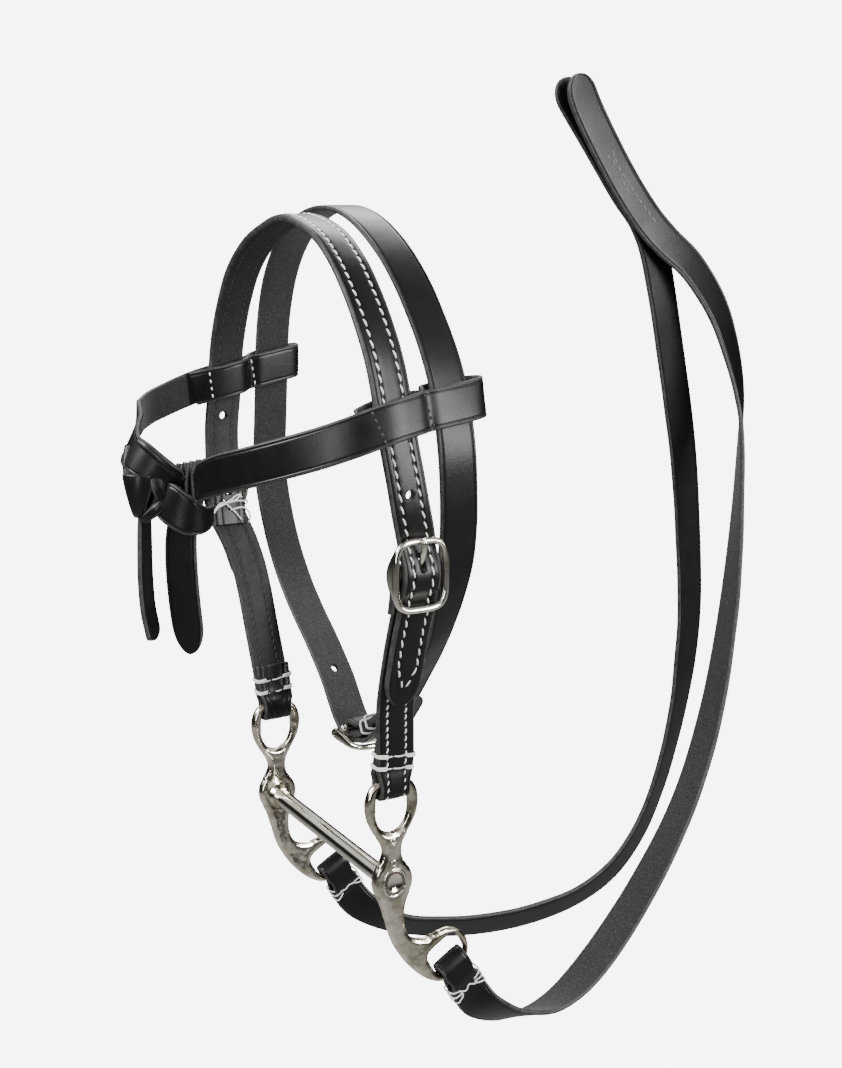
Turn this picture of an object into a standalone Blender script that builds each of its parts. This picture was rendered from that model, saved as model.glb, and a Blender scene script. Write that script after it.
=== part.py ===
"""Miniature leather bridle with a tied browband, curb bit and reins.

Frame: metres, +Z up, the horse's near (left) side is +X, the forehead is -Y.
The origin is the underside of the crown at the poll.
All lengths below are millimetres and are scaled by MM when a mesh is made.
"""
import math

import bmesh
import bpy
from mathutils import Matrix, Vector

MM = 0.001

# Straps: full width and thickness
CROWN_W, CROWN_T = 11.4, 2.0
CHEEK_W, CHEEK_T = 11.8, 1.6
TURN_W = 9.2
THROAT_W, THROAT_T = 11.6, 1.4
BROW_W, BROW_T = 10.8, 1.4
REIN_W, REIN_T = 11.2, 1.5
REIN_TURN_W = 7.6

# Buckles: outer half sizes, wire radius, bow depth of the end bars
FRAME_HALF_W, FRAME_HALF_H = 8.5, 10.2
FRAME_WIRE, FRAME_CORNER, FRAME_BOW = 0.95, 3.8, 3.8
BAR_R = 1.0
TONGUE_R = 0.55

# The billet's rise over the bar: height from the bar, distance outward
BULGE = ((-7.8, 1.25), (-5.6, 2.2), (-3.2, 3.6), (0.0, 4.25), (3.2, 3.6), (5.6, 2.2), (7.8, 1.25))

# Bit: shank plates, mouthpiece and rein eye, in the Y-Z plane
NEAR_PLATE_X, OFF_PLATE_X = 40.0, -38.5
PLATE_T = 3.0
RING_Y, RING_Z = 4.2, -164.4
RING_AXIS = (4.2, -156.0)
MOUTH_Y, MOUTH_Z, MOUTH_R = 4.4, -187.2, 2.7
EYE_Y, EYE_Z = 22.2, -213.2
EYE_MAJOR, EYE_MINOR = 6.0, 4.9
EYE_DIR = (0.868, 0.497)
REIN_AXIS = (25.4, -218.8)

# Buckle centre bars
NEAR_BAR = (54.6, 3.5, -92.0)
OFF_BAR = (-57.0, -3.6, -87.0)
THROAT_BAR = (0.5, 16.5, -153.2)

THREAD_R = 0.4


# ---------------------------------------------------------------- scene setup
def clear_scene():
    for ob in list(bpy.data.objects):
        bpy.data.objects.remove(ob, do_unlink=True)


def make_material(name, color, metallic, roughness):
    mat = bpy.data.materials.new(name)
    mat.use_nodes = True
    shader = mat.node_tree.nodes["Principled BSDF"]
    shader.inputs["Base Color"].default_value = (*color, 1.0)
    shader.inputs["Metallic"].default_value = metallic
    shader.inputs["Roughness"].default_value = roughness
    mat.diffuse_color = (*color, 1.0)
    return mat


# ------------------------------------------------------------------- mesh kit
def add_object(name, bm, mat, origin=(0.0, 0.0, 0.0)):
    """Store a mesh given in millimetres with its origin at a point."""
    shift = Matrix.Translation(-Vector(origin))
    bmesh.ops.transform(bm, matrix=Matrix.Scale(MM, 4) @ shift, verts=bm.verts)
    bmesh.ops.recalc_face_normals(bm, faces=bm.faces)
    mesh = bpy.data.meshes.new(name)
    bm.to_mesh(mesh)
    bm.free()
    mesh.materials.append(mat)
    ob = bpy.data.objects.new(name, mesh)
    ob.location = Vector(origin) * MM
    bpy.context.scene.collection.objects.link(ob)
    return ob


def add_modifier(ob, kind, **settings):
    mod = ob.modifiers.new(kind.title(), kind)
    for key, value in settings.items():
        setattr(mod, key, value)
    return mod


def subtract(ob, cutter):
    cutter.hide_render = True
    cutter.display_type = "WIRE"
    add_modifier(ob, "BOOLEAN", operation="DIFFERENCE", solver="EXACT", object=cutter)


def unite(ob, other):
    other.hide_render = True
    other.display_type = "WIRE"
    add_modifier(ob, "BOOLEAN", operation="UNION", solver="EXACT", object=other)


def slot_cutter(bm, low, high):
    """A box added to the cutter mesh."""
    made = bmesh.ops.create_cube(bm, size=1.0)["verts"]
    size = [b - a for a, b in zip(low, high)]
    middle = [(a + b) / 2 for a, b in zip(low, high)]
    bmesh.ops.scale(bm, vec=size, verts=made)
    bmesh.ops.translate(bm, vec=middle, verts=made)


def punch_cutter(bm, centre, radius, length):
    """A round punch along X added to the cutter mesh."""
    made = bmesh.ops.create_cone(bm, cap_ends=True, segments=20, radius1=radius,
                                 radius2=radius, depth=length)["verts"]
    turn = Matrix.Rotation(math.pi / 2, 4, "Y")
    bmesh.ops.transform(bm, matrix=Matrix.Translation(centre) @ turn, verts=made)


# ------------------------------------------------------------------ path kit
def catmull(a, b, c, d, t):
    return 0.5 * (2 * b + (c - a) * t + (2 * a - 5 * b + 4 * c - d) * t * t
                  + (3 * b - a - 3 * c + d) * t * t * t)


def smooth_rows(rows, step, closed=False):
    """Catmull-Rom through rows of numbers; the first three are the position."""
    rows = [tuple(float(v) for v in row) for row in rows]
    count = len(rows)
    spans = count if closed else count - 1
    out = []
    for i in range(spans):
        if closed:
            four = [rows[(i + k) % count] for k in (-1, 0, 1, 2)]
        else:
            four = [rows[min(max(i + k, 0), count - 1)] for k in (-1, 0, 1, 2)]
        chord = (Vector(four[2][:3]) - Vector(four[1][:3])).length
        parts = max(1, int(math.ceil(chord / step)))
        for j in range(parts):
            t = j / parts
            out.append(tuple(catmull(*values, t) for values in zip(*four)))
    if not closed:
        out.append(rows[-1])
    return out


def tangents(points, closed=False):
    count = len(points)
    out = []
    for i in range(count):
        if closed:
            step = points[(i + 1) % count] - points[(i - 1) % count]
        else:
            step = points[min(i + 1, count - 1)] - points[max(i - 1, 0)]
        out.append(step.normalized())
    return out


def skin(bm, rings, closed=False):
    """Join rings of vertices into a tube, capped unless it closes on itself."""
    count = len(rings)
    around = len(rings[0])
    for i in range(count if closed else count - 1):
        first, second = rings[i], rings[(i + 1) % count]
        for j in range(around):
            k = (j + 1) % around
            bm.faces.new((first[j], first[k], second[k], second[j]))
    if not closed:
        bm.faces.new(rings[0])
        bm.faces.new(list(reversed(rings[-1])))


def strap_mesh(rows, thick, step=4.0, bevel=0.3):
    """A flat strap along rows of (x, y, z, side x, side y, side z, width)."""
    rows = smooth_rows(rows, step)
    points = [Vector(row[:3]) for row in rows]
    bm = bmesh.new()
    rings = []
    for row, point, along in zip(rows, points, tangents(points)):
        side = Vector(row[3:6])
        side = (side - along * side.dot(along)).normalized()
        face = along.cross(side)
        w, t = row[6] / 2, thick / 2
        b = min(bevel, w * 0.4)
        section = ((-w, -t + b), (-w + b, -t), (w - b, -t), (w, -t + b),
                   (w, t - b), (w - b, t), (-w + b, t), (-w, t - b))
        rings.append([bm.verts.new(point + side * u + face * v) for u, v in section])
    skin(bm, rings)
    return bm


def strap(name, rows, thick, mat, step=4.0, origin=(0.0, 0.0, 0.0)):
    return add_object(name, strap_mesh(rows, thick, step), mat, origin)


def tube_mesh(points, radius, sides=10, closed=False, hint=(0.0, 0.0, 1.0)):
    points = [Vector(p) for p in points]
    bm = bmesh.new()
    rings = []
    for point, along in zip(points, tangents(points, closed)):
        u = Vector(hint)
        u = (u - along * u.dot(along)).normalized()
        v = along.cross(u)
        ring = []
        for k in range(sides):
            a = 2 * math.pi * (k + 0.5) / sides
            ring.append(bm.verts.new(point + (u * math.cos(a) + v * math.sin(a)) * radius))
        rings.append(ring)
    skin(bm, rings, closed)
    return bm


def arc(centre, radius, start, stop, count):
    """Points (p, q) on an arc, angles in degrees."""
    out = []
    for i in range(count):
        a = math.radians(start + (stop - start) * i / (count - 1))
        out.append((centre[0] + radius * math.cos(a), centre[1] + radius * math.sin(a)))
    return out


def plate(name, outline, holes, x_mid, mat, origin):
    """An outline in Y-Z with holes, given thickness along X and soft edges."""
    bm = bmesh.new()
    low = [bm.verts.new((x_mid - PLATE_T / 2, y, z)) for y, z in outline]
    high = [bm.verts.new((x_mid + PLATE_T / 2, y, z)) for y, z in outline]
    skin(bm, [low, high])
    ob = add_object(name, bm, mat, origin)
    for i, hole in enumerate(holes):
        bm = bmesh.new()
        low = [bm.verts.new((x_mid - PLATE_T, y, z)) for y, z in hole]
        high = [bm.verts.new((x_mid + PLATE_T, y, z)) for y, z in hole]
        skin(bm, [low, high])
        subtract(ob, add_object(name + "_hole_%d" % i, bm, mat))
    add_modifier(ob, "BEVEL", width=0.0006, segments=2, limit_method="ANGLE",
                 angle_limit=math.radians(50), harden_normals=False)
    return ob


# ------------------------------------------------------------------- the crown
def build_crown(leather):
    near_bar, off_bar = NEAR_BAR, OFF_BAR
    near = [(48.2, 2.4, -130.5, 3.0), (49.0, 2.5, -127.5, 8.5), (50.8, 2.8, -120.0, CROWN_W),
            (53.4, 3.1, -110.0, CROWN_W),
            (near_bar[0] + 1.2, near_bar[1], near_bar[2] - 10.0, CROWN_W)]
    near += [(near_bar[0] + out, near_bar[1], near_bar[2] + up, CROWN_W) for up, out in BULGE]
    near.append((near_bar[0] + 1.3, near_bar[1] - 0.2, near_bar[2] + 10.0, CROWN_W))
    arch = [(56.8, 1.2, -74.0), (56.6, -0.2, -66.0), (55.6, -1.7, -56.0), (54.0, -2.6, -46.0),
            (50.6, -2.8, -36.5), (45.0, -2.8, -27.5), (37.6, -2.6, -18.5), (28.0, -2.2, -10.0),
            (15.0, -1.6, -3.2), (-3.5, -1.2, 0.6), (-19.0, -1.2, -2.8), (-32.0, -1.2, -8.3),
            (-43.5, -1.2, -17.0), (-51.5, -1.2, -28.0), (-56.5, -1.2, -38.0),
            (-59.0, -1.3, -47.0), (-60.0, -1.7, -57.0), (-60.0, -2.8, -67.0)]
    off = [(off_bar[0] - 1.3, off_bar[1], off_bar[2] + 10.0, CROWN_W)]
    off += [(off_bar[0] - out, off_bar[1] - 0.05 * up, off_bar[2] - up, CROWN_W) for up, out in BULGE]
    off += [(off_bar[0] - 1.3, off_bar[1] + 1.0, off_bar[2] - 10.0, CROWN_W),
            (-56.6, 0.4, -104.5, CROWN_W), (-54.2, 2.2, -112.5, CROWN_W),
            (-53.0, 2.9, -116.5, 8.5), (-52.2, 3.2, -119.0, 3.0)]
    rows = [(x, y, z, 0, 1, 0, w) for x, y, z, w in near]
    rows += [(x, y, z, 0, 1, 0, CROWN_W) for x, y, z in arch]
    rows += [(x, y, z, 0, 1, 0, w) for x, y, z, w in off]
    crown = strap("crown_strap", rows, CROWN_T, leather)
    cutter = bmesh.new()
    for bar, sx in ((near_bar, 1), (off_bar, -1)):
        xs = sorted((bar[0], bar[0] + sx * 8.0))
        slot_cutter(cutter, (xs[0], bar[1] - 1.1, bar[2] + 1.2), (xs[1], bar[1] + 1.1, bar[2] + 7.2))
    punch_cutter(cutter, (56.7, -0.3, -70.3), 1.2, 8)
    punch_cutter(cutter, (-60.0, -2.1, -64.0), 1.2, 8)
    subtract(crown, add_object("crown_cutter", cutter, leather))
    return crown


# -------------------------------------------------------------- the cheekpieces
def build_cheekpiece(name, sx, bar, run, plate_x, leather):
    """Doubled at the buckle bar above and at the bit ring below."""
    bx, by, bz = abs(bar[0]), bar[1], bar[2]
    px = abs(plate_x)
    gap = PLATE_T / 2 + 0.35 + CHEEK_T / 2
    rows = [(bx - 3.9, by, bz - 11.5, CHEEK_W), (bx - 2.9, by, bz - 7.0, CHEEK_W)]
    for p, q in arc((bx, bz), 2.1, 180, 0, 9):
        rows.append((p, by, q, CHEEK_W))
    rows += [(bx + 0.3, by, bz - 4.4, CHEEK_W)]
    rows += [(x, y, z, CHEEK_W) for x, y, z in run]
    lower = RING_AXIS[1]
    rows += [(px + gap, RING_Y, lower + 2.4, 11.0), (px + gap, RING_Y, lower + 0.4, TURN_W)]
    for p, q in arc((px, lower - 1.5), gap, 0, -180, 11):
        rows.append((p, RING_Y, q, TURN_W))
    rows += [(px - gap, RING_Y, lower + 0.6, TURN_W), (px - gap + 0.5, RING_Y, lower + 2.8, 11.0),
             (px - 0.7, RING_Y, lower + 6.0, 11.4), (px + 0.9, RING_Y, lower + 9.5, 11.4),
             (px + 1.6, RING_Y, lower + 14.0, 11.4)]
    full = [(sx * x, y, z, 0, 1, 0, w) for x, y, z, w in rows]
    ob = strap(name, full, CHEEK_T, leather, step=5.0)
    xs = sorted((sx * (bx - 3.4), sx * (bx + 3.4)))
    cutter = bmesh.new()
    slot_cutter(cutter, (xs[0], by - 1.3, bz - 2.6), (xs[1], by + 1.3, bz + 3.6))
    subtract(ob, add_object(name + "_cutter", cutter, leather))
    return ob


# ------------------------------------------------------------------ the buckles
def bow_share(up):
    """0 at the bar, 1 at the corners and along both end bars."""
    return 0.5 - 0.5 * math.cos(math.pi * min(abs(up) / 6.6, 1.0))


def frame_mesh(point):
    """Bowed rounded frame; point(across, out, up) gives a position."""
    w, h, r = FRAME_HALF_W - FRAME_WIRE, FRAME_HALF_H - FRAME_WIRE, FRAME_CORNER
    loop = []
    for cy, cz, start in ((w - r, h - r, 0), (r - w, h - r, 90), (r - w, r - h, 180), (w - r, r - h, 270)):
        if start in (0, 180):
            turn = 1 if start == 0 else -1
            loop += [(turn * w, turn * u) for u in (-3.6, -1.8, 0.0, 1.8, 3.6)]
        loop += arc((cy, cz), r, start, start + 90, 6)
    path = [point(a, FRAME_BOW * bow_share(u), u) for a, u in loop]
    return tube_mesh(path, FRAME_WIRE, 10, True, hint=point(0, 1, 0) - point(0, 0, 0))


def build_buckle(name, bar, point, across, mat):
    frame = add_object(name, frame_mesh(point), mat, bar)
    reach = FRAME_HALF_W - FRAME_WIRE
    middle = Vector(bar)
    ends = [middle - across * reach, middle + across * reach]
    hint = point(0, 1, 0) - point(0, 0, 0)
    rod = add_object(name + "_bar", tube_mesh(ends, BAR_R * 0.9, 12, False, hint), mat)
    unite(frame, rod)
    return frame


def tongue_mesh(point, rest_out):
    """A pin bent round the bar, its tip lying on the far end bar."""
    coil = BAR_R + 0.25 + TONGUE_R
    path = [(p, q) for p, q in arc((0.0, 0.0), coil, -150, 25, 12)]
    reach = FRAME_HALF_H - FRAME_WIRE
    path += [(coil + 1.4, 3.0), (rest_out - 0.4, 6.6), (rest_out, reach), (rest_out, reach + 1.4)]
    rows = smooth_rows([(p, q, 0.0) for p, q in path], 1.5)
    pts = [point(0, p, q) for p, q, _ in rows]
    return tube_mesh(pts, TONGUE_R, 8, False, hint=point(1, 0, 0) - point(0, 0, 0))


def build_buckles(metal):
    rest_out = FRAME_BOW + FRAME_WIRE + TONGUE_R + 0.15
    for tag, bar, sx in (("near", NEAR_BAR, 1), ("off", OFF_BAR, -1)):
        def point(a, o, u, bar=bar, sx=sx):
            return Vector((bar[0] + sx * o, bar[1] + a, bar[2] + u))
        build_buckle("cheek_buckle_" + tag, bar, point, Vector((0, 1, 0)), metal)
        add_object("buckle_tongue_" + tag, tongue_mesh(point, rest_out), metal, bar)
    bar = THROAT_BAR

    def under(a, o, u):
        return Vector((bar[0] - u, bar[1] + a, bar[2] - o))
    build_buckle("throat_buckle", bar, under, Vector((0, 1, 0)), metal)
    add_object("buckle_tongue_throat", tongue_mesh(under, rest_out), metal, bar)


# ------------------------------------------------------------- the throatlatch
def build_throatlatch(leather):
    bx, by, bz = THROAT_BAR
    rows = [(14.5, by, -146.0, 0, 1, 0, 8.0), (9.6, by, -150.0, 0, 1, 0, 10.0),
            (5.2, by, -151.2, 0, 1, 0, 11.0)]
    for p, q in arc((bx, bz), 2.0, 90, 270, 9):
        rows.append((p, by, q, 0, 1, 0, THROAT_W))
    rows += [(5.3, by, -154.3, 0, 1, 0, THROAT_W), (9.7, by, -152.1, 0, 1, 0, THROAT_W),
             (16.0, by, -146.8, 0, 1, 0, THROAT_W), (25.5, 16.9, -137.3, -0.2, 0.98, 0, THROAT_W),
             (33.0, 17.4, -128.8, -0.4, 0.92, 0, THROAT_W), (38.6, 17.8, -121.5, -0.45, 0.89, 0, THROAT_W),
             (43.4, 18.1, -113.5, -0.4, 0.92, 0, THROAT_W), (47.8, 18.4, -102.5, -0.2, 0.98, 0, THROAT_W),
             (50.8, 18.5, -92.5, 0, 1, 0, THROAT_W), (52.6, 18.4, -83.0, 0, 1, 0, THROAT_W),
             (54.4, 17.4, -73.0, 0, 1, 0, THROAT_W), (55.0, 16.5, -62.0, 0, 1, 0, THROAT_W),
             (53.8, 16.0, -52.0, 0, 1, 0, THROAT_W), (50.4, 16.0, -42.5, 0, 1, 0, THROAT_W),
             (45.4, 16.0, -33.8, 0, 1, 0, THROAT_W), (38.8, 16.0, -25.0, 0, 1, 0, THROAT_W),
             (30.0, 16.0, -15.6, 0, 1, 0, THROAT_W), (19.5, 16.0, -7.2, 0, 1, 0, THROAT_W),
             (6.0, 16.0, -0.4, 0, 1, 0, THROAT_W), (-8.0, 16.0, 2.6, 0, 1, 0, THROAT_W),
             (-22.0, 16.0, 1.4, 0, 1, 0, THROAT_W), (-35.0, 16.0, -3.2, 0, 1, 0, THROAT_W),
             (-45.5, 16.0, -10.0, 0, 1, 0, THROAT_W), (-53.5, 16.0, -19.5, 0, 1, 0, THROAT_W),
             (-58.4, 16.0, -30.5, 0, 1, 0, THROAT_W), (-61.0, 16.0, -42.0, 0, 1, 0, THROAT_W),
             (-62.3, 16.0, -55.0, 0, 1, 0, THROAT_W), (-63.6, 16.0, -67.0, 0, 1, 0, THROAT_W),
             (-64.6, 16.0, -78.0, 0, 1, 0, THROAT_W), (-63.0, 16.0, -90.0, 0.05, 1, 0, THROAT_W),
             (-56.2, 16.0, -105.0, 0.1, 1, 0, THROAT_W), (-47.6, 16.0, -116.5, 0.1, 1, 0, THROAT_W),
             (-37.8, 16.0, -125.5, 0.05, 1, 0, THROAT_W), (-27.6, 16.2, -133.6, 0, 1, 0, THROAT_W),
             (-18.0, by, -142.6, 0, 1, 0, THROAT_W), (-12.6, by, -149.0, 0, 1, 0, THROAT_W),
             (-8.6, by, -153.4, 0, 1, 0, THROAT_W), (-4.0, by, -156.2, 0, 1, 0, THROAT_W),
             (bx, by, bz - 3.8, 0, 1, 0, THROAT_W), (4.0, by, -156.4, 0, 1, 0, THROAT_W),
             (6.8, by, -155.5, 0, 1, 0, THROAT_W), (9.6, by, -154.9, 0, 1, 0, THROAT_W),
             (12.6, by, -153.2, 0, 1, 0, THROAT_W), (18.2, by, -149.0, 0, 1, 0, THROAT_W),
             (25.6, by + 0.4, -141.2, -0.2, 0.98, 0, 10.0), (30.2, by + 0.7, -136.4, -0.3, 0.95, 0, 4.0)]
    latch = strap("throatlatch", rows, THROAT_T, leather)
    cutter = bmesh.new()
    slot_cutter(cutter, (bx - 3.4, by - 1.3, bz - 2.95), (bx + 2.2, by + 1.3, bz + 3.4))
    subtract(latch, add_object("throat_bar_cutter", cutter, leather))
    cutter = bmesh.new()
    slot_cutter(cutter, (bx - 7.0, by - 1.1, bz - 6.2), (bx - 1.2, by + 1.1, bz - 1.0))
    punch_cutter(cutter, (-19.6, by, -141.0), 1.0, 8)
    subtract(latch, add_object("throat_tongue_cutter", cutter, leather))
    return latch


# --------------------------------------------------------------- the browband
def build_browband(leather):
    near = [(9.6, -42.4, -70.4, 8.6), (16.0, -41.6, -68.8, 10.0), (25.0, -39.3, -66.2),
            (35.0, -35.2, -63.2), (44.0, -29.2, -60.0), (50.6, -22.0, -57.0),
            (55.2, -14.4, -53.9), (57.0, -8.0, -51.6), (57.6, -2.5, -50.0), (57.0, 3.6, -48.8),
            (56.2, 6.8, -48.2), (56.6, 10.0, -47.6), (56.4, 16.0, -46.7), (55.6, 22.2, -45.8),
            (54.4, 24.3, -45.5), (52.4, 25.1, -45.4), (50.4, 24.3, -45.5), (49.2, 22.2, -45.8),
            (48.4, 16.0, -46.7), (48.8, 10.4, -47.5), (50.6, 8.6, -47.9), (54.0, 6.6, -48.2),
            (51.8, 3.8, -48.8),
            (50.9, -2.5, -50.0), (51.8, -8.0, -51.3), (53.3, -11.4, -52.2)]
    rows = [(r[0], r[1], r[2], 0.2, 0, -0.98, r[3] if len(r) > 3 else BROW_W) for r in near]
    for i in range(5):
        rows[i] = rows[i][:3] + (0.04 * i, 0, -1.0) + rows[i][6:]
    strap("browband_near", rows, BROW_T, leather)
    off = [(-13.0, -45.6, -70.2, 8.6), (-19.0, -46.8, -69.0, 10.0), (-27.5, -46.6, -67.0),
           (-37.0, -44.0, -64.6), (-47.0, -38.2, -61.4), (-55.2, -29.0, -58.2),
           (-60.2, -18.4, -55.6), (-62.0, -10.0, -53.9), (-62.6, -2.0, -52.3), (-61.9, 4.0, -51.0),
           (-61.2, 6.4, -50.4), (-63.6, 9.0, -49.9), (-64.8, 12.0, -49.3), (-64.8, 16.0, -48.6),
           (-64.2, 21.8, -47.6),
           (-63.2, 23.8, -47.3), (-61.4, 24.6, -47.1), (-59.6, 23.8, -47.3), (-58.8, 21.8, -47.6),
           (-58.5, 16.0, -48.6), (-58.4, 10.4, -49.6), (-59.2, 7.0, -50.3), (-56.6, 3.6, -51.0),
           (-56.3, -2.0, -52.3), (-57.2, -8.0, -53.4), (-59.6, -12.4, -54.4)]
    rows = [(r[0], r[1], r[2], -0.06, 0, -1.0, r[3] if len(r) > 3 else BROW_W) for r in off]
    strap("browband_off", rows, BROW_T, leather)


# ------------------------------------------------------------- the brow knot
KNOT = (0.0, -42.0)


def knot_point(a, b, z):
    """a runs across the knot from off-front to near-back, b runs near-front."""
    return (KNOT[0] + 0.5 * a + 0.866 * b, KNOT[1] + 0.866 * a - 0.5 * b, z)


def knot_band(name, stations, leather, step=2.5):
    rows = [knot_point(a, b, z) + (0.0, 0.0, -1.0, w) for a, b, z, w in stations]
    return strap(name, rows, BROW_T, leather, step)


def build_knot(leather):
    knot_band("knot_turn_off",
              [(-5.6, -5.6, -74.4, 9.5), (-10.6, -6.4, -74.8, 10.2), (-14.6, -3.8, -75.0, 10.6),
               (-15.2, 0.6, -75.0, 10.6), (-12.6, 4.6, -75.0, 10.6), (-8.4, 5.8, -74.8, 10.0)], leather)
    knot_band("knot_turn_near",
              [(-5.4, 4.6, -80.2, 7.6), (-1.2, 6.8, -80.4, 9.0), (4.2, 7.2, -80.6, 9.4),
               (8.8, 4.6, -80.4, 9.4), (10.8, 0.4, -80.0, 9.4), (9.2, -4.4, -79.4, 9.0),
               (4.6, -6.4, -79.0, 8.6)], leather)
    bridge = [(-9.8, -2.6, -65.6, 6.4), (-5.4, -1.0, -67.4, 9.0), (-0.8, 0.4, -69.4, 9.8),
              (2.8, 0.6, -71.6, 8.6)]
    knot_band("knot_bridge", bridge, leather)
    near_tail = [(2.6, -0.9, -75.8, 5.6), (1.6, 0.6, -82.0, 7.6), (1.0, 1.6, -88.0, 9.2),
                 (1.4, 1.8, -98.0, 9.8), (2.4, 1.6, -109.0, 9.6), (3.6, 1.0, -117.0, 8.6),
                 (4.2, 0.8, -121.0, 5.6), (4.4, 0.7, -122.8, 2.6)]
    rows = [knot_point(a, b, z) + (0.5, 0.866, 0.0, w) for a, b, z, w in near_tail]
    strap("brow_tail_near", rows, BROW_T, leather)
    off_tail = [(-9.6, -0.8, -72.0, 5.0), (-9.4, -0.6, -80.0, 6.4), (-9.2, -0.4, -88.0, 8.8),
                (-9.0, -0.4, -99.0, 9.4), (-8.2, -0.6, -109.0, 9.0), (-6.8, -1.0, -116.0, 7.8),
                (-6.2, -1.2, -119.4, 3.6)]
    rows = [knot_point(a, b, z) + (0.866, -0.5, 0.0, w) for a, b, z, w in off_tail]
    strap("brow_tail_off", rows, BROW_T, leather)


# ------------------------------------------------------------------- the bit
SHANK = [(-2.6, -154.9), (4.2, -154.7), (11.0, -154.9), (12.5, -157.2), (12.7, -162.5), (11.9, -166.9),
         (9.9, -170.6), (7.5, -174.0), (6.9, -177.4), (7.7, -180.4), (9.8, -182.9), (10.8, -185.8),
         (10.4, -188.9), (8.9, -192.0), (7.9, -195.8), (7.9, -199.6), (8.7, -202.9), (10.5, -205.4),
         (13.0, -206.6), (16.0, -206.8), (19.2, -205.7), (22.8, -205.1), (26.6, -206.5),
         (29.2, -209.8), (29.8, -214.4), (28.0, -218.4), (24.6, -221.3), (20.4, -221.9),
         (16.4, -220.3), (12.6, -217.3), (9.0, -213.3), (6.2, -209.2), (3.9, -204.8), (2.4, -200.0),
         (1.5, -195.8), (0.2, -192.0), (-1.5, -188.8), (-2.1, -185.6), (-1.3, -182.4),
         (0.7, -179.6), (1.6, -177.0), (0.8, -174.2), (-1.4, -171.0), (-3.4, -167.0),
         (-4.2, -162.6), (-4.0, -157.2)]


def ring_hole():
    """Square-shouldered above, round below, wide enough for the strap."""
    out = []
    for i in range(32):
        a = 2 * math.pi * i / 32
        c, s = math.cos(a), math.sin(a)
        power = 0.12 if s > 0 else 1.0
        y = RING_Y + 5.7 * math.copysign(abs(c) ** power, c)
        z = RING_Z + 7.0 * math.copysign(abs(s) ** power, s)
        out.append((y, z))
    return out


def eye_hole():
    out = []
    for i in range(28):
        a = 2 * math.pi * i / 28
        p = EYE_MAJOR * math.copysign(abs(math.cos(a)) ** 0.7, math.cos(a))
        q = EYE_MINOR * math.copysign(abs(math.sin(a)) ** 0.7, math.sin(a))
        out.append((EYE_Y + EYE_DIR[0] * p - EYE_DIR[1] * q, EYE_Z + EYE_DIR[1] * p + EYE_DIR[0] * q))
    return out


def build_bit(metal):
    outline = [(row[1], row[2]) for row in smooth_rows([(0.0, y, z) for y, z in SHANK], 2.0, True)]
    pivot = (0.0,) + RING_AXIS
    for tag, x_mid, sx in (("near", NEAR_PLATE_X, 1), ("off", OFF_PLATE_X, -1)):
        plate("bit_shank_" + tag, outline, [ring_hole(), eye_hole()], x_mid, metal, pivot)
        x0 = x_mid + sx * (PLATE_T / 2 + 0.02)
        ends = [(x0, MOUTH_Y + 0.3, MOUTH_Z), (x0 + sx * 0.9, MOUTH_Y + 0.3, MOUTH_Z)]
        cap = tube_mesh(ends, 4.1, 24)
        add_object("bit_rivet_" + tag, cap, metal, pivot)
    xs = (OFF_PLATE_X + PLATE_T / 2 + 0.02, NEAR_PLATE_X - PLATE_T / 2 - 0.02)
    ends = [(xs[0], MOUTH_Y, MOUTH_Z), (xs[1], MOUTH_Y, MOUTH_Z)]
    add_object("mouthpiece_bar", tube_mesh(ends, MOUTH_R, 24), metal, pivot)


# ------------------------------------------------------------------ the reins
def eye_local(along):
    """Y, Z of a point at a distance along the rein's leaving direction."""
    return (REIN_AXIS[0] + EYE_DIR[1] * along, REIN_AXIS[1] - EYE_DIR[0] * along)


def eye_turn(sx, plate_x):
    """The doubled end that passes through the rein eye."""
    px = abs(plate_x)
    gap = PLATE_T / 2 + 0.35 + REIN_T / 2
    stations = [(px - 1.0, 9.8, 10.4), (px - 1.6, 7.2, 10.2), (px - 2.4, 4.8, 9.6),
                (px - gap, 2.4, 8.8), (px - gap, 0.2, REIN_TURN_W)]
    for p, q in arc((px, -1.7), gap, 180, 360, 11):
        stations.append((p, q, REIN_TURN_W))
    stations += [(px + gap, 0.6, REIN_TURN_W), (px + gap, 2.8, 8.8), (px + 1.9, 6.0, 10.6)]
    rows = []
    for x, along, w in stations:
        y, z = eye_local(along)
        rows.append((sx * x, y, z, 0.0, EYE_DIR[0], EYE_DIR[1], w))
    return rows


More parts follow.
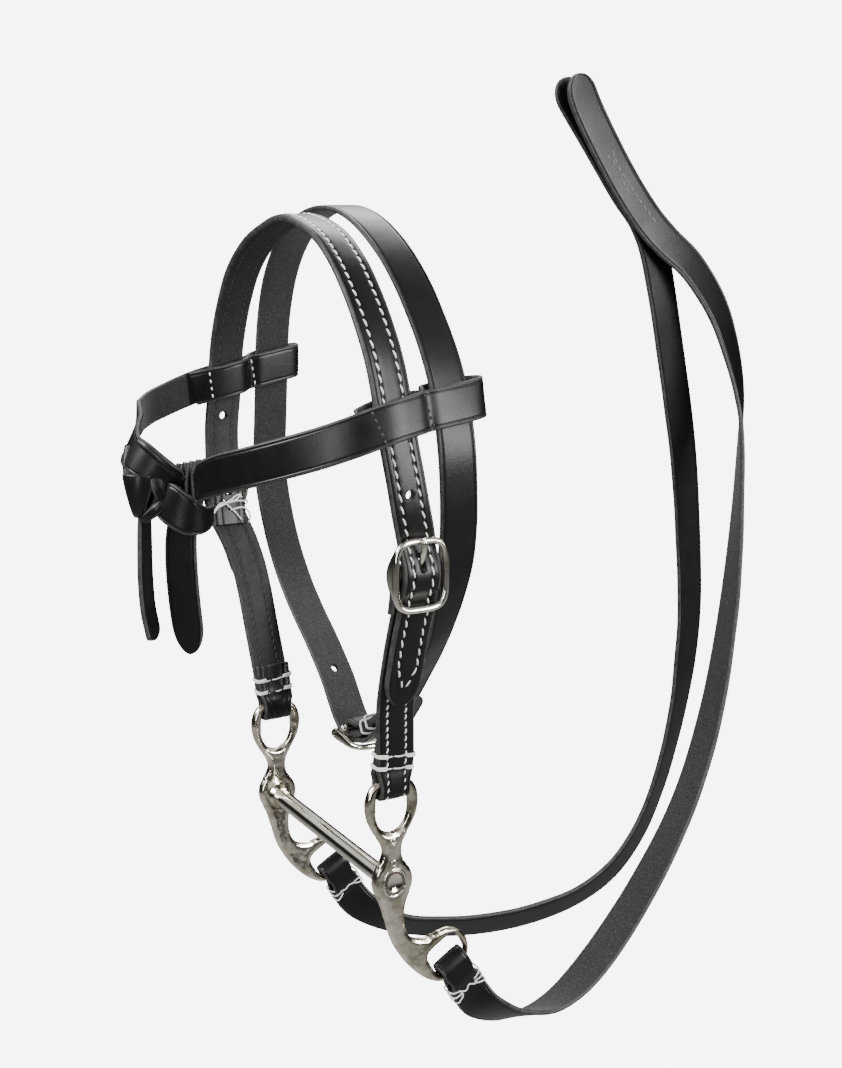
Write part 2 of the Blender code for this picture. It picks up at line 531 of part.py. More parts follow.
def build_reins(leather):
    pivot = (0.0,) + REIN_AXIS
    near = [(41.4, 30.4, -227.8, 0.05, 0.86, 0.5), (41.0, 36.0, -234.4, 0.45, 0.65, 0.6),
            (38.6, 48.0, -241.4, 0.8, 0.3, 0.52), (36.4, 64.0, -243.0, 0.98, 0.12, 0.1),
            (34.2, 81.5, -234.4, 0.94, 0.28, -0.2), (31.0, 103.0, -214.4, 0.97, 0.2, -0.1),
            (27.5, 121.6, -190.4, 0.99, 0.1, 0.05), (23.8, 134.6, -163.2, 0.99, 0.02, 0.1),
            (20.0, 143.2, -134.0, 0.97, -0.12, 0.15), (16.2, 148.9, -104.0, 0.92, -0.35, 0.15),
            (12.4, 152.5, -74.0, 0.8, -0.58, 0.12), (10.2, 152.7, -58.6, 0.6, -0.8, 0.0),
            (8.2, 149.9, -43.8, 0.4, -0.9, -0.1), (6.1, 144.7, -29.6, 0.22, -0.95, -0.2),
            (4.0, 135.8, -17.0, 0.1, -0.9, -0.4), (2.0, 127.0, -9.2, 0.03, -0.82, -0.57),
            (1.1, 120.6, -2.0, 0, -0.83, -0.55), (1.0, 113.6, 7.4, 0, -0.83, -0.55),
            (1.0, 105.8, 19.0, 0, -0.83, -0.55), (1.4, 97.6, 32.4, 0, -0.83, -0.55)]
    rows = eye_turn(1, NEAR_PLATE_X) + [r + (REIN_W,) for r in near]
    rows += [(1.8, 93.6, 38.8, 0, -0.83, -0.55, 9.6), (2.0, 91.8, 41.6, 0, -0.83, -0.55, 4.6)]
    strap("rein_near", rows, REIN_T, leather, 5.0, pivot)
    off = [(-39.9, 30.4, -227.8, 0, 0.86, 0.5), (-39.2, 36.4, -235.4, 0.3, 0.65, 0.7),
           (-36.6, 49.0, -243.6, 0.62, 0.3, 0.72), (-33.0, 66.0, -247.6, 0.54, 0.17, 0.82),
           (-30.2, 84.0, -249.4, 0.5, 0, 0.87), (-28.3, 101.5, -248.9, 0.45, -0.12, 0.88),
           (-26.4, 118.5, -245.4, 0.42, -0.35, 0.83), (-24.6, 132.4, -237.6, 0.38, -0.65, 0.66),
           (-22.7, 142.4, -224.6, 0.4, -0.82, 0.4), (-20.9, 148.8, -208.4, 0.4, -0.89, 0.2),
           (-19.0, 152.6, -191.4, 0.38, -0.92, 0.1), (-17.2, 154.9, -174.4, 0.32, -0.94, 0.04),
           (-15.4, 155.6, -156.6, 0.16, -0.98, -0.02), (-13.4, 154.8, -137.0, 0.1, -0.99, -0.08),
           (-11.0, 151.0, -111.0, 0.06, -0.98, -0.18), (-7.8, 144.4, -78.4, 0, -0.97, -0.23),
           (-4.6, 134.6, -43.0, 0, -0.95, -0.3), (-2.2, 126.0, -15.0, 0, -0.95, -0.3),
           (-1.1, 120.4, -2.0, 0, -0.87, -0.5), (-1.0, 113.6, 7.4, 0, -0.83, -0.55),
           (-1.2, 105.8, 19.0, 0, -0.83, -0.55), (-2.6, 97.4, 31.4, 0, -0.83, -0.55)]
    rows = eye_turn(-1, OFF_PLATE_X) + [r + (REIN_W,) for r in off]
    rows += [(-3.6, 93.2, 37.6, 0, -0.83, -0.55, 9.6), (-4.2, 91.4, 40.4, 0, -0.83, -0.55, 4.6)]
    strap("rein_off", rows, REIN_T, leather, 5.0, pivot)


# ------------------------------------------------------------- thread bindings
def binding_mesh(centre, half_t, half_w, face, side):
    """One turn of thread round a doubled strap."""
    face, side, centre = Vector(face), Vector(side), Vector(centre)
    r = 0.6
    loop = []
    for cy, cz, start in ((half_t - r, half_w - r, 0), (r - half_t, half_w - r, 90),
                          (r - half_t, r - half_w, 180), (half_t - r, r - half_w, 270)):
        loop += arc((cy, cz), r, start, start + 90, 4)
    points = [centre + face * p + side * q for p, q in loop]
    return tube_mesh(points, THREAD_R, 6, True, hint=face.cross(side))


def build_bindings(thread):
    for tag, plate_x, sx in (("near", NEAR_PLATE_X, 1), ("off", OFF_PLATE_X, -1)):
        px = abs(plate_x)
        for label, z, mid, half_t in (("upper", -147.6, 1.6, 2.9), ("lower", -151.0, 0.15, 4.0)):
            centre = (sx * (px + mid), RING_Y, z)
            bm = binding_mesh(centre, half_t, 6.6, (1, 0, 0), (0, 1, 0))
            add_object("ring_stitch_%s_%s" % (tag, label), bm, thread)
        y, z = eye_local(7.6)
        bm = binding_mesh((sx * (px + 0.05), y, z), 3.1, 6.3, (1, 0, 0), (0, EYE_DIR[0], EYE_DIR[1]))
        add_object("rein_stitch_" + tag, bm, thread, (0.0,) + REIN_AXIS)
    bm = binding_mesh((12.3, 16.5, -148.9), 2.15, 6.5, (-0.644, 0, 0.765), (0, 1, 0))
    add_object("throat_stitch", bm, thread)


def main():
    clear_scene()
    leather = make_material("black_leather", (0.015, 0.015, 0.016), 0.0, 0.42)
    metal = make_material("nickel_metal", (0.72, 0.7, 0.66), 1.0, 0.18)
    thread = make_material("white_thread", (0.8, 0.79, 0.75), 0.0, 0.8)
    build_crown(leather)
    build_cheekpiece("cheekpiece_near", 1, NEAR_BAR,
                     [(53.3, 3.4, -101.5), (51.0, 2.9, -110.0), (48.5, 2.5, -120.0),
                      (45.7, 2.6, -131.0), (43.8, 3.5, -140.0), (42.8, 4.1, -147.5)],
                     NEAR_PLATE_X, leather)
    build_cheekpiece("cheekpiece_off", -1, OFF_BAR,
                     [(55.8, -2.6, -96.5), (54.0, 0.2, -104.5), (52.0, 2.1, -112.5),
                      (49.6, 3.0, -121.0), (46.4, 3.5, -131.5), (43.2, 3.9, -141.0),
                      (41.3, 4.2, -147.5)], OFF_PLATE_X, leather)
    build_buckles(metal)
    build_throatlatch(leather)
    build_browband(leather)
    build_knot(leather)
    build_bit(metal)
    build_reins(leather)
    build_bindings(thread)


main()
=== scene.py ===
"""Looks for the miniature leather bridle with a tied browband, curb bit and joined reins.

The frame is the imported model's: +Z up, the horse's near (left) side is +X, the forehead is -Y.
Lengths are millimetres until a mesh is made, and MM scales them to metres.
"""
import math

import bmesh
import bpy
import numpy as np
from mathutils import Matrix, Vector


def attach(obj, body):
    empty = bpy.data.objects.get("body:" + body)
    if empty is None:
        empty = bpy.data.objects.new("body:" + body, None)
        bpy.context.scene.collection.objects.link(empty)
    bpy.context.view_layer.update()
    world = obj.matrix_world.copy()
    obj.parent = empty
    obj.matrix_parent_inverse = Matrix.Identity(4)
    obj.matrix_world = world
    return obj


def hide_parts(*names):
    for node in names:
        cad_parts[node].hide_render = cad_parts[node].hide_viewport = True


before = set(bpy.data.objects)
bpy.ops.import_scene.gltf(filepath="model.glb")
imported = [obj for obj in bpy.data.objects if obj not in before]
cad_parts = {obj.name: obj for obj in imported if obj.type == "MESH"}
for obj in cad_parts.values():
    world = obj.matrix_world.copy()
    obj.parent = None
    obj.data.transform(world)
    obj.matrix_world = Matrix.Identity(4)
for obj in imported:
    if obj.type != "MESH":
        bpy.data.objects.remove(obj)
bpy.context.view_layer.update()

MM = 0.001
# Material slots of a strap: its +h face, its -h face and its cut edge
PLUS, MINUS, EDGE = 0, 1, 2

# Straps: full width and thickness
CROWN_W, CROWN_T = 11.4, 2.0
CHEEK_W, CHEEK_T = 11.8, 1.6
RING_TURN_W = 9.2
THROAT_W, THROAT_T = 11.6, 1.4
BROW_W, BROW_T = 10.8, 1.4
REIN_W, REIN_T = 11.2, 1.5
REIN_TURN_W = 9.8

# Stitching: pitch along the row, distance of a row from the strap's middle, thread radius
PITCH, CHEEK_PITCH, ROW_OFFSET, THREAD_R = 3.1, 2.4, 2.9, 0.27

# Buckles, bit and rein eyes
FRAME_HALF_W, FRAME_HALF_H, FRAME_WIRE, FRAME_DEPTH = 8.5, 10.2, 0.92, 3.8
BAR_R, TONGUE_R = 1, 0.8
NEAR_BAR, OFF_BAR, THROAT_BAR = (54.6, 3.5, -92), (-57, -3.6, -87), (0.5, 16.5, -153.2)
NEAR_PLATE_X, OFF_PLATE_X, PLATE_T = 40, -38.5, 3.0
RING_Y, RING_Z, RING_BAR_Z = 4.2, -164.4, -156.0
MOUTH_Y, MOUTH_Z, MOUTH_R = 4.4, -187.2, 2.7
EYE_Y, EYE_Z, EYE_MAJOR, EYE_MINOR = 22.2, -213.2, 6, 4.9
EYE_DIR = (0.868, 0.497)
REIN_AXIS = (25.4, -218.8)
KNOT = (0, -42)

BULGE = ((-7.8, 1.25), (-5.6, 2.2), (-3.2, 3.6), (0, 4.25), (3.2, 3.6), (5.6, 2.2), (7.8, 1.25))


# ---- path kit
def smooth_rows(rows, step, closed=False):
    """Catmull-Rom through rows of numbers; the first three are the position."""
    rows = np.array(rows, float)
    count = len(rows)
    out = []
    for i in range(count if closed else count - 1):
        if closed:
            a, b, c, d = (rows[(i + k) % count] for k in (-1, 0, 1, 2))
        else:
            a, b, c, d = (rows[min(max(i + k, 0), count - 1)] for k in (-1, 0, 1, 2))
        parts = max(1, int(math.ceil(np.linalg.norm(c[:3] - b[:3]) / step)))
        for t in np.arange(parts) / parts:
            out.append(0.5 * (2 * b + (c - a) * t + (2 * a - 5 * b + 4 * c - d) * t * t
                              + (3 * b - a - 3 * c + d) * t ** 3))
    if not closed:
        out.append(rows[-1])
    return np.array(out)


def unit(v):
    return v / np.maximum(np.linalg.norm(v, axis=-1, keepdims=True), 1e-9)


def arc(centre, radius, start, stop, count):
    """Points (p, q) on an arc, angles in degrees."""
    angles = np.radians(np.linspace(start, stop, count))
    return [(centre[0] + radius * math.cos(a), centre[1] + radius * math.sin(a)) for a in angles]


class Ribbon:
    """A flat strap along rows of (x, y, z, side x, side y, side z, width).

    Stations run along its length; v is measured across it and h up from its middle surface."""

    def __init__(self, rows, thick, nominal, tips=(0, 0), step=0.7, wave=0):
        raw = smooth_rows(rows, step)
        s = np.concatenate([[0], np.cumsum(np.linalg.norm(np.diff(raw[:, :3], axis=0), axis=1))])
        self.length = s[-1]
        stations = [np.arange(0, self.length, step), [self.length]]
        for tip, end in zip(tips, (0, self.length)):
            if tip:
                near = tip * (1 - np.cos(np.linspace(0, math.pi / 2, 12)))
                stations.append(np.abs(end - near))
        self.s = np.unique(np.round(np.concatenate(stations), 3))
        rows = np.stack([np.interp(self.s, s, raw[:, k]) for k in range(raw.shape[1])], axis=1)
        self.centre = rows[:, :3]
        self.along = unit(np.gradient(self.centre, self.s, axis=0))
        side = rows[:, 3:6]
        side = unit(side - self.along * np.sum(side * self.along, axis=1, keepdims=True))
        self.face = np.cross(self.along, side)
        turn = wave * (np.sin(self.s * 0.11 + rows[0, 0]) + 0.6 * np.sin(self.s * 0.27 + rows[0, 2]))
        self.side = unit(side + self.face * turn[:, None])
        self.face = np.cross(self.along, self.side)
        self.centre = self.centre + self.face * (turn * 3)[:, None]
        self.scale = rows[:, 6] / nominal * self.tip_share(tips)
        self.nominal, self.thick = nominal, thick

    def tip_share(self, tips):
        """1 along the strap, falling to nearly 0 round each shaped end."""
        share = np.ones(len(self.s))
        for tip, reach in zip(tips, (self.s, self.length - self.s)):
            if tip:
                t = np.clip(reach / tip, 0, 1)
                share *= np.maximum((1 - (1 - t) ** 2.2) ** 0.5, 0.06)
        return share

    def at(self, s, v, h):
        """A point on the strap at length s, offset v and height h."""
        pick = [np.array([np.interp(s, self.s, a[:, k]) for k in range(3)])
                for a in (self.centre, self.side, self.face)]
        return pick[0] + unit(pick[1]) * v + unit(pick[2]) * h

    def nearest(self, point):
        return self.s[np.argmin(np.linalg.norm(self.centre - np.array(point), axis=1))]


def section(width, thick, creases=(), furrows=()):
    """The closed outline (v, h) of a strap's cut, with the face of each point.

    creases are pressed lines, at their distance from the edge, on the +h and -h faces;
    furrows are the shallow channels that stitch rows lie in, at their offset."""
    half, t = width / 2, thick / 2
    e = 0.42 * thick
    grooves = {1: [], -1: []}
    for face, inset in creases:
        grooves[face] += [(sign * (half - inset), 0.16, 0.17) for sign in (-1, 1)]
    for face, offset in furrows:
        grooves[face] += [(sign * offset, 0.13, 0.4) for sign in (-1, 1)]
    points, groups = [], []
    for face, group in ((1, PLUS), (-1, MINUS)):
        marks = list(np.linspace(-(half - e), half - e, 9))
        for middle, _, spread in grooves[face]:
            marks += [middle + spread * k for k in (-2, -1, -0.4, 0.4, 1, 2)]
        marks = sorted(m for m in set(np.round(marks, 3)) if abs(m) <= half - e + 1e-6)
        for v in (marks if face == 1 else marks[::-1]):
            sink = sum(d * math.exp(-((v - m) / w) ** 2) for m, d, w in grooves[face])
            dome = 0.05 * thick * (1 - (v / half) ** 2)
            points.append((v, face * (t + dome - sink)))
            groups.append(group)
        for p, q in arc((0, 0), 1, 90, -90, 7)[1:-1]:
            points.append((face * (half - e + e * p), face * t * q))
            groups.append(EDGE)
    return points, groups


def link(name, data):
    """A new object in the scene."""
    ob = bpy.data.objects.new(name, data)
    bpy.context.scene.collection.objects.link(ob)
    return ob


def skin(rings, sides, closed=False):
    """Faces over rings of points, capped at both ends unless the rings meet again."""
    faces = []
    for i in range(rings if closed else rings - 1):
        a, b = i * sides, (i + 1) % rings * sides
        for k in range(sides):
            m = (k + 1) % sides
            faces.append((a + k, a + m, b + m, b + k))
    if not closed:
        last = (rings - 1) * sides
        faces += [tuple(range(sides)[::-1]), tuple(range(last, last + sides))]
    return faces


def mesh_object(name, verts, faces, materials, indices=None, uvs=None):
    mesh = bpy.data.meshes.new(name)
    mesh.from_pydata((np.array(verts) * MM).tolist(), [], faces)
    for mat in materials:
        mesh.materials.append(mat)
    if indices is not None:
        mesh.polygons.foreach_set("material_index", indices)
    mesh.polygons.foreach_set("use_smooth", [True] * len(mesh.polygons))
    if uvs is not None:
        layer = mesh.uv_layers.new(name="Strap")
        picked = np.array(uvs, np.float32)[[loop.vertex_index for loop in mesh.loops]]
        layer.data.foreach_set("uv", picked.ravel())
    mesh.validate()
    ob = link(name, mesh)
    fix_normals(ob)
    return ob


def strap(name, ribbon, looks, creases=(), furrows=(), dents=(), curl=0, same_until=0):
    """The strap's mesh. looks are the materials of its +h face, -h face and cut edge.

    dents are (s, v, radius, depth, face): soft hollows pressed in the leather.
    curl bends the strap across its width, so that its +h face is rounded.
    Up to same_until along it, both faces have the look of the +h face."""
    outline, groups = section(ribbon.nominal, ribbon.thick, creases, furrows)
    around = len(outline)
    verts, uvs = [], []
    for i, s in enumerate(ribbon.s):
        for v, h in outline:
            across = v * ribbon.scale[i]
            for ds, dv, radius, depth, face in dents:
                if h * face > 0 and abs(s - ds) < 3 * radius:
                    h -= face * depth * math.exp(-((s - ds) ** 2 + (across - dv) ** 2) / radius ** 2)
            lift = h - curl * across ** 2
            verts.append(ribbon.centre[i] + ribbon.side[i] * across + ribbon.face[i] * lift)
            uvs.append((s / 10, v / 10))
    indices = []
    for s in ribbon.s[:-1]:
        for j in range(around):
            group = groups[j] if groups[j] == groups[(j + 1) % around] else EDGE
            indices.append(PLUS if group == MINUS and s < same_until else group)
    return mesh_object(name, verts, skin(len(ribbon.s), around), looks, indices + [EDGE, EDGE], uvs)


def fix_normals(ob):
    bm = bmesh.new()
    bm.from_mesh(ob.data)
    bmesh.ops.recalc_face_normals(bm, faces=bm.faces)
    bm.to_mesh(ob.data)
    bm.free()


def tube(points, radius, sides=8, closed=False):
    """Vertices and faces of a round thread or wire; radius may be a list."""
    points = np.array(points, float)
    count = len(points)
    radius = np.broadcast_to(np.array(radius, float), count)
    if closed:
        along = unit(np.roll(points, -1, axis=0) - np.roll(points, 1, axis=0))
    else:
        along = unit(np.gradient(points, axis=0))
    u = np.eye(3)[np.argmin(np.abs(along).max(axis=0))]
    verts = []
    for i in range(count):
        u = unit(u - along[i] * np.dot(u, along[i]))
        v = np.cross(along[i], u)
        for k in range(sides):
            a = 2 * math.pi * k / sides
            verts.append(points[i] + (u * math.cos(a) + v * math.sin(a)) * radius[i])
    return verts, skin(count, sides, closed)


class Pile:
    """Many small meshes gathered in one object."""

    def __init__(self):
        self.verts, self.faces = [], []

    def add(self, made):
        shift = len(self.verts)
        self.verts += list(made[0])
        self.faces += [tuple(i + shift for i in face) for face in made[1]]

    def thread(self, points, radius=THREAD_R):
        """A length of thread through points, thinning where its ends go in."""
        rows = smooth_rows(points, 0.35)
        ends = np.minimum(np.arange(len(rows)), np.arange(len(rows))[::-1])
        self.add(tube(rows, radius * np.clip(0.55 + 0.25 * ends, 0.55, 1), 7))

    def build(self, name, look):
        return mesh_object(name, self.verts, self.faces, [M[look]])


def stitch(pile, ribbon, path, face, pitch=PITCH, radius=THREAD_R, lean=0.5, fill=0.76):
    """A row of hand stitches along a path of (s, v) on one face of a strap."""
    path = np.array(path, float)
    run = np.concatenate([[0], np.cumsum(np.linalg.norm(np.diff(path, axis=0), axis=1))])
    count = max(1, int(round(run[-1] / pitch)))
    top = ribbon.thick / 2 - 0.06
    for i in range(count):
        size = run[-1] / count
        jig = 0.12 * math.sin(i * 12.9898 + path[0, 0])
        points = []
        for t in np.linspace(0, 1, 7):
            d = (i + 0.5 + (t - 0.5) * fill) * size + jig
            s, v = np.interp(d, run, path[:, 0]), np.interp(d, run, path[:, 1])
            rise = top - radius * 1.2 + radius * 1.75 * math.sin(math.pi * t) ** 0.6
            points.append(ribbon.at(s, v + lean * (0.5 - t), face * rise))
        pile.add(tube(points, [radius * k for k in (0.6, 0.9, 1, 1.05, 1, 0.9, 0.6)], 7))


def both_rows(pile, ribbon, s0, s1, face, offset=ROW_OFFSET, **more):
    for sign in (-1, 1):
        stitch(pile, ribbon, [(s0, sign * offset), (s1, sign * offset)], face, **more)


def holes(s0, s1, pitch=PITCH):
    """The dents where the stitches of both rows go in, on both faces."""
    count = int(round((s1 - s0) / pitch))
    return [(s0 + i * (s1 - s0) / count, sign * ROW_OFFSET, 0.42, 0.34, face)
            for face in (-1, 1) for i in range(count + 1) for sign in (-1, 1)]


def punch(ob, ribbon, s, radius, stretch=1):
    """A round hole right through a strap."""
    middle = Vector(ribbon.at(s, 0, 0)) * MM
    i = int(np.argmin(np.abs(ribbon.s - s)))
    axes = (ribbon.along[i] * stretch, ribbon.side[i], ribbon.face[i])
    turn = Matrix([Vector(a) for a in axes]).transposed().to_4x4()
    bm = bmesh.new()
    bmesh.ops.create_cone(bm, cap_ends=True, segments=28, radius1=radius * MM,
                          radius2=radius * MM, depth=8 * MM)
    bmesh.ops.transform(bm, matrix=Matrix.Translation(middle) @ turn, verts=bm.verts)
    cut(ob, bm)


def slot(ob, middle, size, rounding=0):
    """A tongue's way through a strap."""
    bm = bmesh.new()
    bmesh.ops.create_cube(bm, size=1)
    bmesh.ops.scale(bm, vec=size, verts=bm.verts)
    if rounding:
        bmesh.ops.bevel(bm, geom=bm.edges, offset=rounding, segments=3, affect="EDGES")
    bmesh.ops.translate(bm, vec=middle, verts=bm.verts)
    bmesh.ops.scale(bm, vec=(MM, MM, MM), verts=bm.verts)
    cut(ob, bm)


def cut(ob, bm):
    """Take a closed shape out of a strap; the cut looks like the strap's edge."""
    mesh = bpy.data.meshes.new("cutter")
    bm.to_mesh(mesh)
    bm.free()
    mesh.materials.append(M["edge"])
    cutter = link("cutter", mesh)
    mod = ob.modifiers.new("Cut", "BOOLEAN")
    mod.operation, mod.solver, mod.object = "DIFFERENCE", "EXACT", cutter
    apply_modifiers(ob)
    bpy.data.objects.remove(cutter)


def finished_mesh(ob):
    """The mesh of a curve, or of a piece with its modifiers."""
    bpy.context.view_layer.update()
    return bpy.data.meshes.new_from_object(ob.evaluated_get(bpy.context.evaluated_depsgraph_get()))


def apply_modifiers(ob):
    mesh = finished_mesh(ob)
    ob.modifiers.clear()
    old = ob.data
    ob.data = mesh
    bpy.data.meshes.remove(old)


def place(ob, *nodes, body="headstall", finish="black_leather"):
    """The piece rides on a body and stands for its CAD nodes; its finish is not used."""
    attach(ob, body)
    if nodes:
        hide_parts(*nodes)


def sew(pile, name, *nodes, look="white", body="headstall"):
    """Black thread is given the leather's finish name, any other the thread's; place does not use it."""
    finish = "black_leather" if look == "black" else "white_thread"
    place(pile.build(name, look), *nodes, body=body, finish=finish)


def metal(made, name, *nodes, body="headstall"):
    """A piece of polished metal from its vertices and faces."""
    place(mesh_object(name, *made, [M["nickel"]]), *nodes, body=body, finish="polished_nickel")


# ---- materials
class Nodes:
    """Short hand for one Principled material and its node tree."""

    def __init__(self, name, **values):
        self.mat = bpy.data.materials.new(name)
        self.mat.use_nodes = True
        self.tree = self.mat.node_tree
        self.shader = self.tree.nodes["Principled BSDF"]
        for key, value in values.items():
            self.shader.inputs[key.replace("_", " ")].default_value = value
        self.coord = self.tree.nodes.new("ShaderNodeTexCoord").outputs["Object"]

    def node(self, kind, inputs=(), **settings):
        made = self.tree.nodes.new(kind)
        for key, value in settings.items():
            setattr(made, key, value)
        for key, value in dict(inputs).items():
            if isinstance(value, bpy.types.NodeSocket):
                self.tree.links.new(value, made.inputs[key])
            else:
                made.inputs[key].default_value = value
        return made

    def noise(self, scale, detail=3, rough=0.5):
        made = self.node("ShaderNodeTexNoise", {"Vector": self.coord, "Scale": scale, "Detail": detail,
                                                "Roughness": rough})
        return made.outputs["Fac"]

    def cells(self, scale):
        made = self.node("ShaderNodeTexVoronoi", {"Vector": self.coord, "Scale": scale})
        return made.outputs["Distance"]

    def ramp(self, value, stops):
        made = self.node("ShaderNodeValToRGB", {"Fac": value})
        fill_ramp(made, stops)
        return made.outputs["Color"]

    def spread(self, value, low, high):
        return self.node("ShaderNodeMapRange", {"Value": value, "To Min": low, "To Max": high}).outputs[0]

    def bump(self, *layers):
        """layers of (height, strength, distance in metres)."""
        normal = None
        for height, strength, distance in layers:
            made = self.node("ShaderNodeBump", {"Height": height, "Strength": strength,
                                                "Distance": distance})
            if normal is not None:
                self.tree.links.new(normal, made.inputs["Normal"])
            normal = made.outputs["Normal"]
        self.feed("Normal", normal)

    def feed(self, socket, value):
        self.tree.links.new(value, self.shader.inputs[socket])


def fill_ramp(node, stops):
    """stops are (position, level or colour)."""
    ends = node.color_ramp.elements
    while len(ends) < len(stops):
        ends.new(0.5)
    for element, (position, color) in zip(ends, stops):
        element.position = position
        element.color = (*(color if hasattr(color, "__len__") else (color,) * 3), 1)


def grain_leather():
    """Smooth black bridle leather: fine pores, faint cloudy polish."""
    n = Nodes("leather_grain", IOR=1.34, Coat_Weight=0.1, Coat_Roughness=0.22)
    cloud = n.noise(70, 4, 0.6)
    n.feed("Base Color", n.ramp(cloud, [(0.3, (0.0015, 0.0015, 0.0016)), (0.7, (0.0036, 0.0035, 0.0037))]))
    pores = n.cells(1900)
    fine = n.noise(4200, 2)
    n.feed("Roughness", n.spread(n.noise(160, 5, 0.62), 0.27, 0.46))
    n.bump((cloud, 0.12, 0.0006), (pores, 0.22, 0.00007), (fine, 0.25, 0.00004))
    return n.mat


def lining_leather():
    """The matter, drier face inside the doubled straps."""
    n = Nodes("leather_lining", IOR=1.48)
    n.feed("Base Color", n.ramp(n.noise(900, 4, 0.7), [(0.35, 0.0045), (0.7, 0.014)]))
    n.feed("Roughness", n.spread(n.noise(300, 4), 0.6, 0.8))
    n.bump((n.cells(1500), 0.3, 0.0001), (n.noise(2600, 3, 0.7), 0.45, 0.0001))
    return n.mat


def flesh_leather():
    """The suede side: short nap that scatters light in specks."""
    n = Nodes("leather_flesh", IOR=1.45, Sheen_Weight=0.12, Sheen_Roughness=0.5)
    nap = n.noise(1900, 4, 0.72)
    clouds = n.noise(120, 3, 0.6)
    specks = n.ramp(nap, [(0.4, (0.006, 0.006, 0.0066)), (0.58, (0.02, 0.02, 0.0215)),
                          (0.7, (0.075, 0.075, 0.077))])
    mixed = n.node("ShaderNodeMix", {0: n.spread(clouds, 0, 0.5)}, data_type="RGBA")
    n.tree.links.new(specks, mixed.inputs[6])
    mixed.inputs[7].default_value = (0.012, 0.012, 0.013, 1)
    n.feed("Base Color", mixed.outputs[2])
    n.feed("Roughness", n.spread(nap, 0.95, 0.72))
    n.bump((clouds, 0.2, 0.0004), (nap, 0.7, 0.00012))
    return n.mat


def edge_leather():
    """Dyed and rubbed cut edges, a little greyer where they wear."""
    n = Nodes("leather_edge", IOR=1.5)
    wear = n.noise(420, 5, 0.7)
    n.feed("Base Color", n.ramp(wear, [(0.35, (0.009, 0.009, 0.009)), (0.72, (0.05, 0.049, 0.048))]))
    n.feed("Roughness", n.spread(wear, 0.42, 0.68))
    n.bump((wear, 0.3, 0.00012),)
    return n.mat


def thread_material(name, dark, light):
    """Waxed twisted thread."""
    n = Nodes(name, Sheen_Weight=0.15)
    fuzz = n.noise(2600, 4, 0.7)
    n.feed("Base Color", n.ramp(fuzz, [(0.3, dark), (0.62, light)]))
    n.feed("Roughness", n.spread(fuzz, 0.62, 0.85))
    n.bump((fuzz, 0.6, 0.0001),)
    return n.mat


def nickel_material(name, rough, cast, dark=(0.76, 0.72, 0.62), light=(0.93, 0.9, 0.82)):
    """Polished nickel plate over a casting that isn't quite even."""
    n = Nodes(name, Metallic=1)
    tone = n.noise(110, 4, 0.6)
    n.feed("Base Color", n.ramp(tone, [(0.4, dark), (0.58, light)]))
    n.feed("Roughness", n.spread(n.noise(700, 5, 0.7), rough * 0.7, rough * 1.5))
    n.bump((n.noise(150, 2, 0.5), cast, 0.0014), (n.noise(1500, 3), cast * 0.6, 0.00004))
    return n.mat


M = {
    "grain": grain_leather(),
    "lining": lining_leather(),
    "flesh": flesh_leather(),
    "edge": edge_leather(),
    "white": thread_material("thread_white", (0.5, 0.49, 0.46), (0.86, 0.85, 0.81)),
    "black": thread_material("thread_black", (0.006, 0.006, 0.006), (0.03, 0.03, 0.03)),
    "nickel": nickel_material("nickel_polished", 0.1, 0.05),
    "cast": nickel_material("nickel_cast", 0.13, 0.5, (0.5, 0.45, 0.35), (0.95, 0.9, 0.78)),
    "rivet": nickel_material("nickel_worn", 0.24, 0.5, (0.2, 0.16, 0.13), (0.42, 0.36, 0.3)),
    "grey": thread_material("thread_grey", (0.05, 0.05, 0.05), (0.2, 0.2, 0.19)),
}
OUTSIDE_MINUS = [M["flesh"], M["grain"], M["edge"]]
OUTSIDE_PLUS = [M["grain"], M["flesh"], M["edge"]]
BOTH_GRAIN = [M["grain"], M["grain"], M["edge"]]
LINED_PLUS = [M["lining"], M["grain"], M["edge"]]
LINED_MINUS = [M["grain"], M["lining"], M["edge"]]


# ---- the crown
def crown_rows():
    nb, ob = NEAR_BAR, OFF_BAR
    rows = [(48.2, 2.4, -130.5), (49, 2.5, -127.5), (50.8, 2.8, -120), (53.4, 3.1, -110),
            (nb[0] + 1.2, nb[1], nb[2] - 10)]
    rows += [(nb[0] + out, nb[1], nb[2] + up) for up, out in BULGE]
    rows.append((nb[0] + 1.3, nb[1] - 0.2, nb[2] + 10))
    rows += [
        (56.8, 1.2, -74), (56.6, -0.2, -66), (55.6, -1.7, -56), (54, -2.6, -46), (50.6, -2.8, -36.5),
        (45, -2.8, -27.5), (37.6, -2.6, -18.8), (28, -2.2, -10.6), (15, -1.6, -4), (-3.5, -1.2, -0.4),
        (-19, -1.2, -3.6), (-32, -1.2, -8.8), (-43.5, -1.2, -17.2), (-51.5, -1.2, -28),
        (-56.5, -1.2, -38), (-59, -1.3, -47), (-60, -1.7, -57), (-60, -2.8, -67),
    ]
    rows.append((ob[0] - 1.3, ob[1], ob[2] + 10))
    rows += [(ob[0] - out, ob[1] - 0.05 * up, ob[2] - up) for up, out in BULGE]
    rows += [(ob[0] - 1.3, ob[1] + 1, ob[2] - 10), (-56.6, 0.4, -104.5), (-54.2, 2.2, -112.5),
             (-53, 2.9, -116.5), (-52.2, 3.2, -119)]
    return [(*row, 0, 1, 0, CROWN_W) for row in rows]


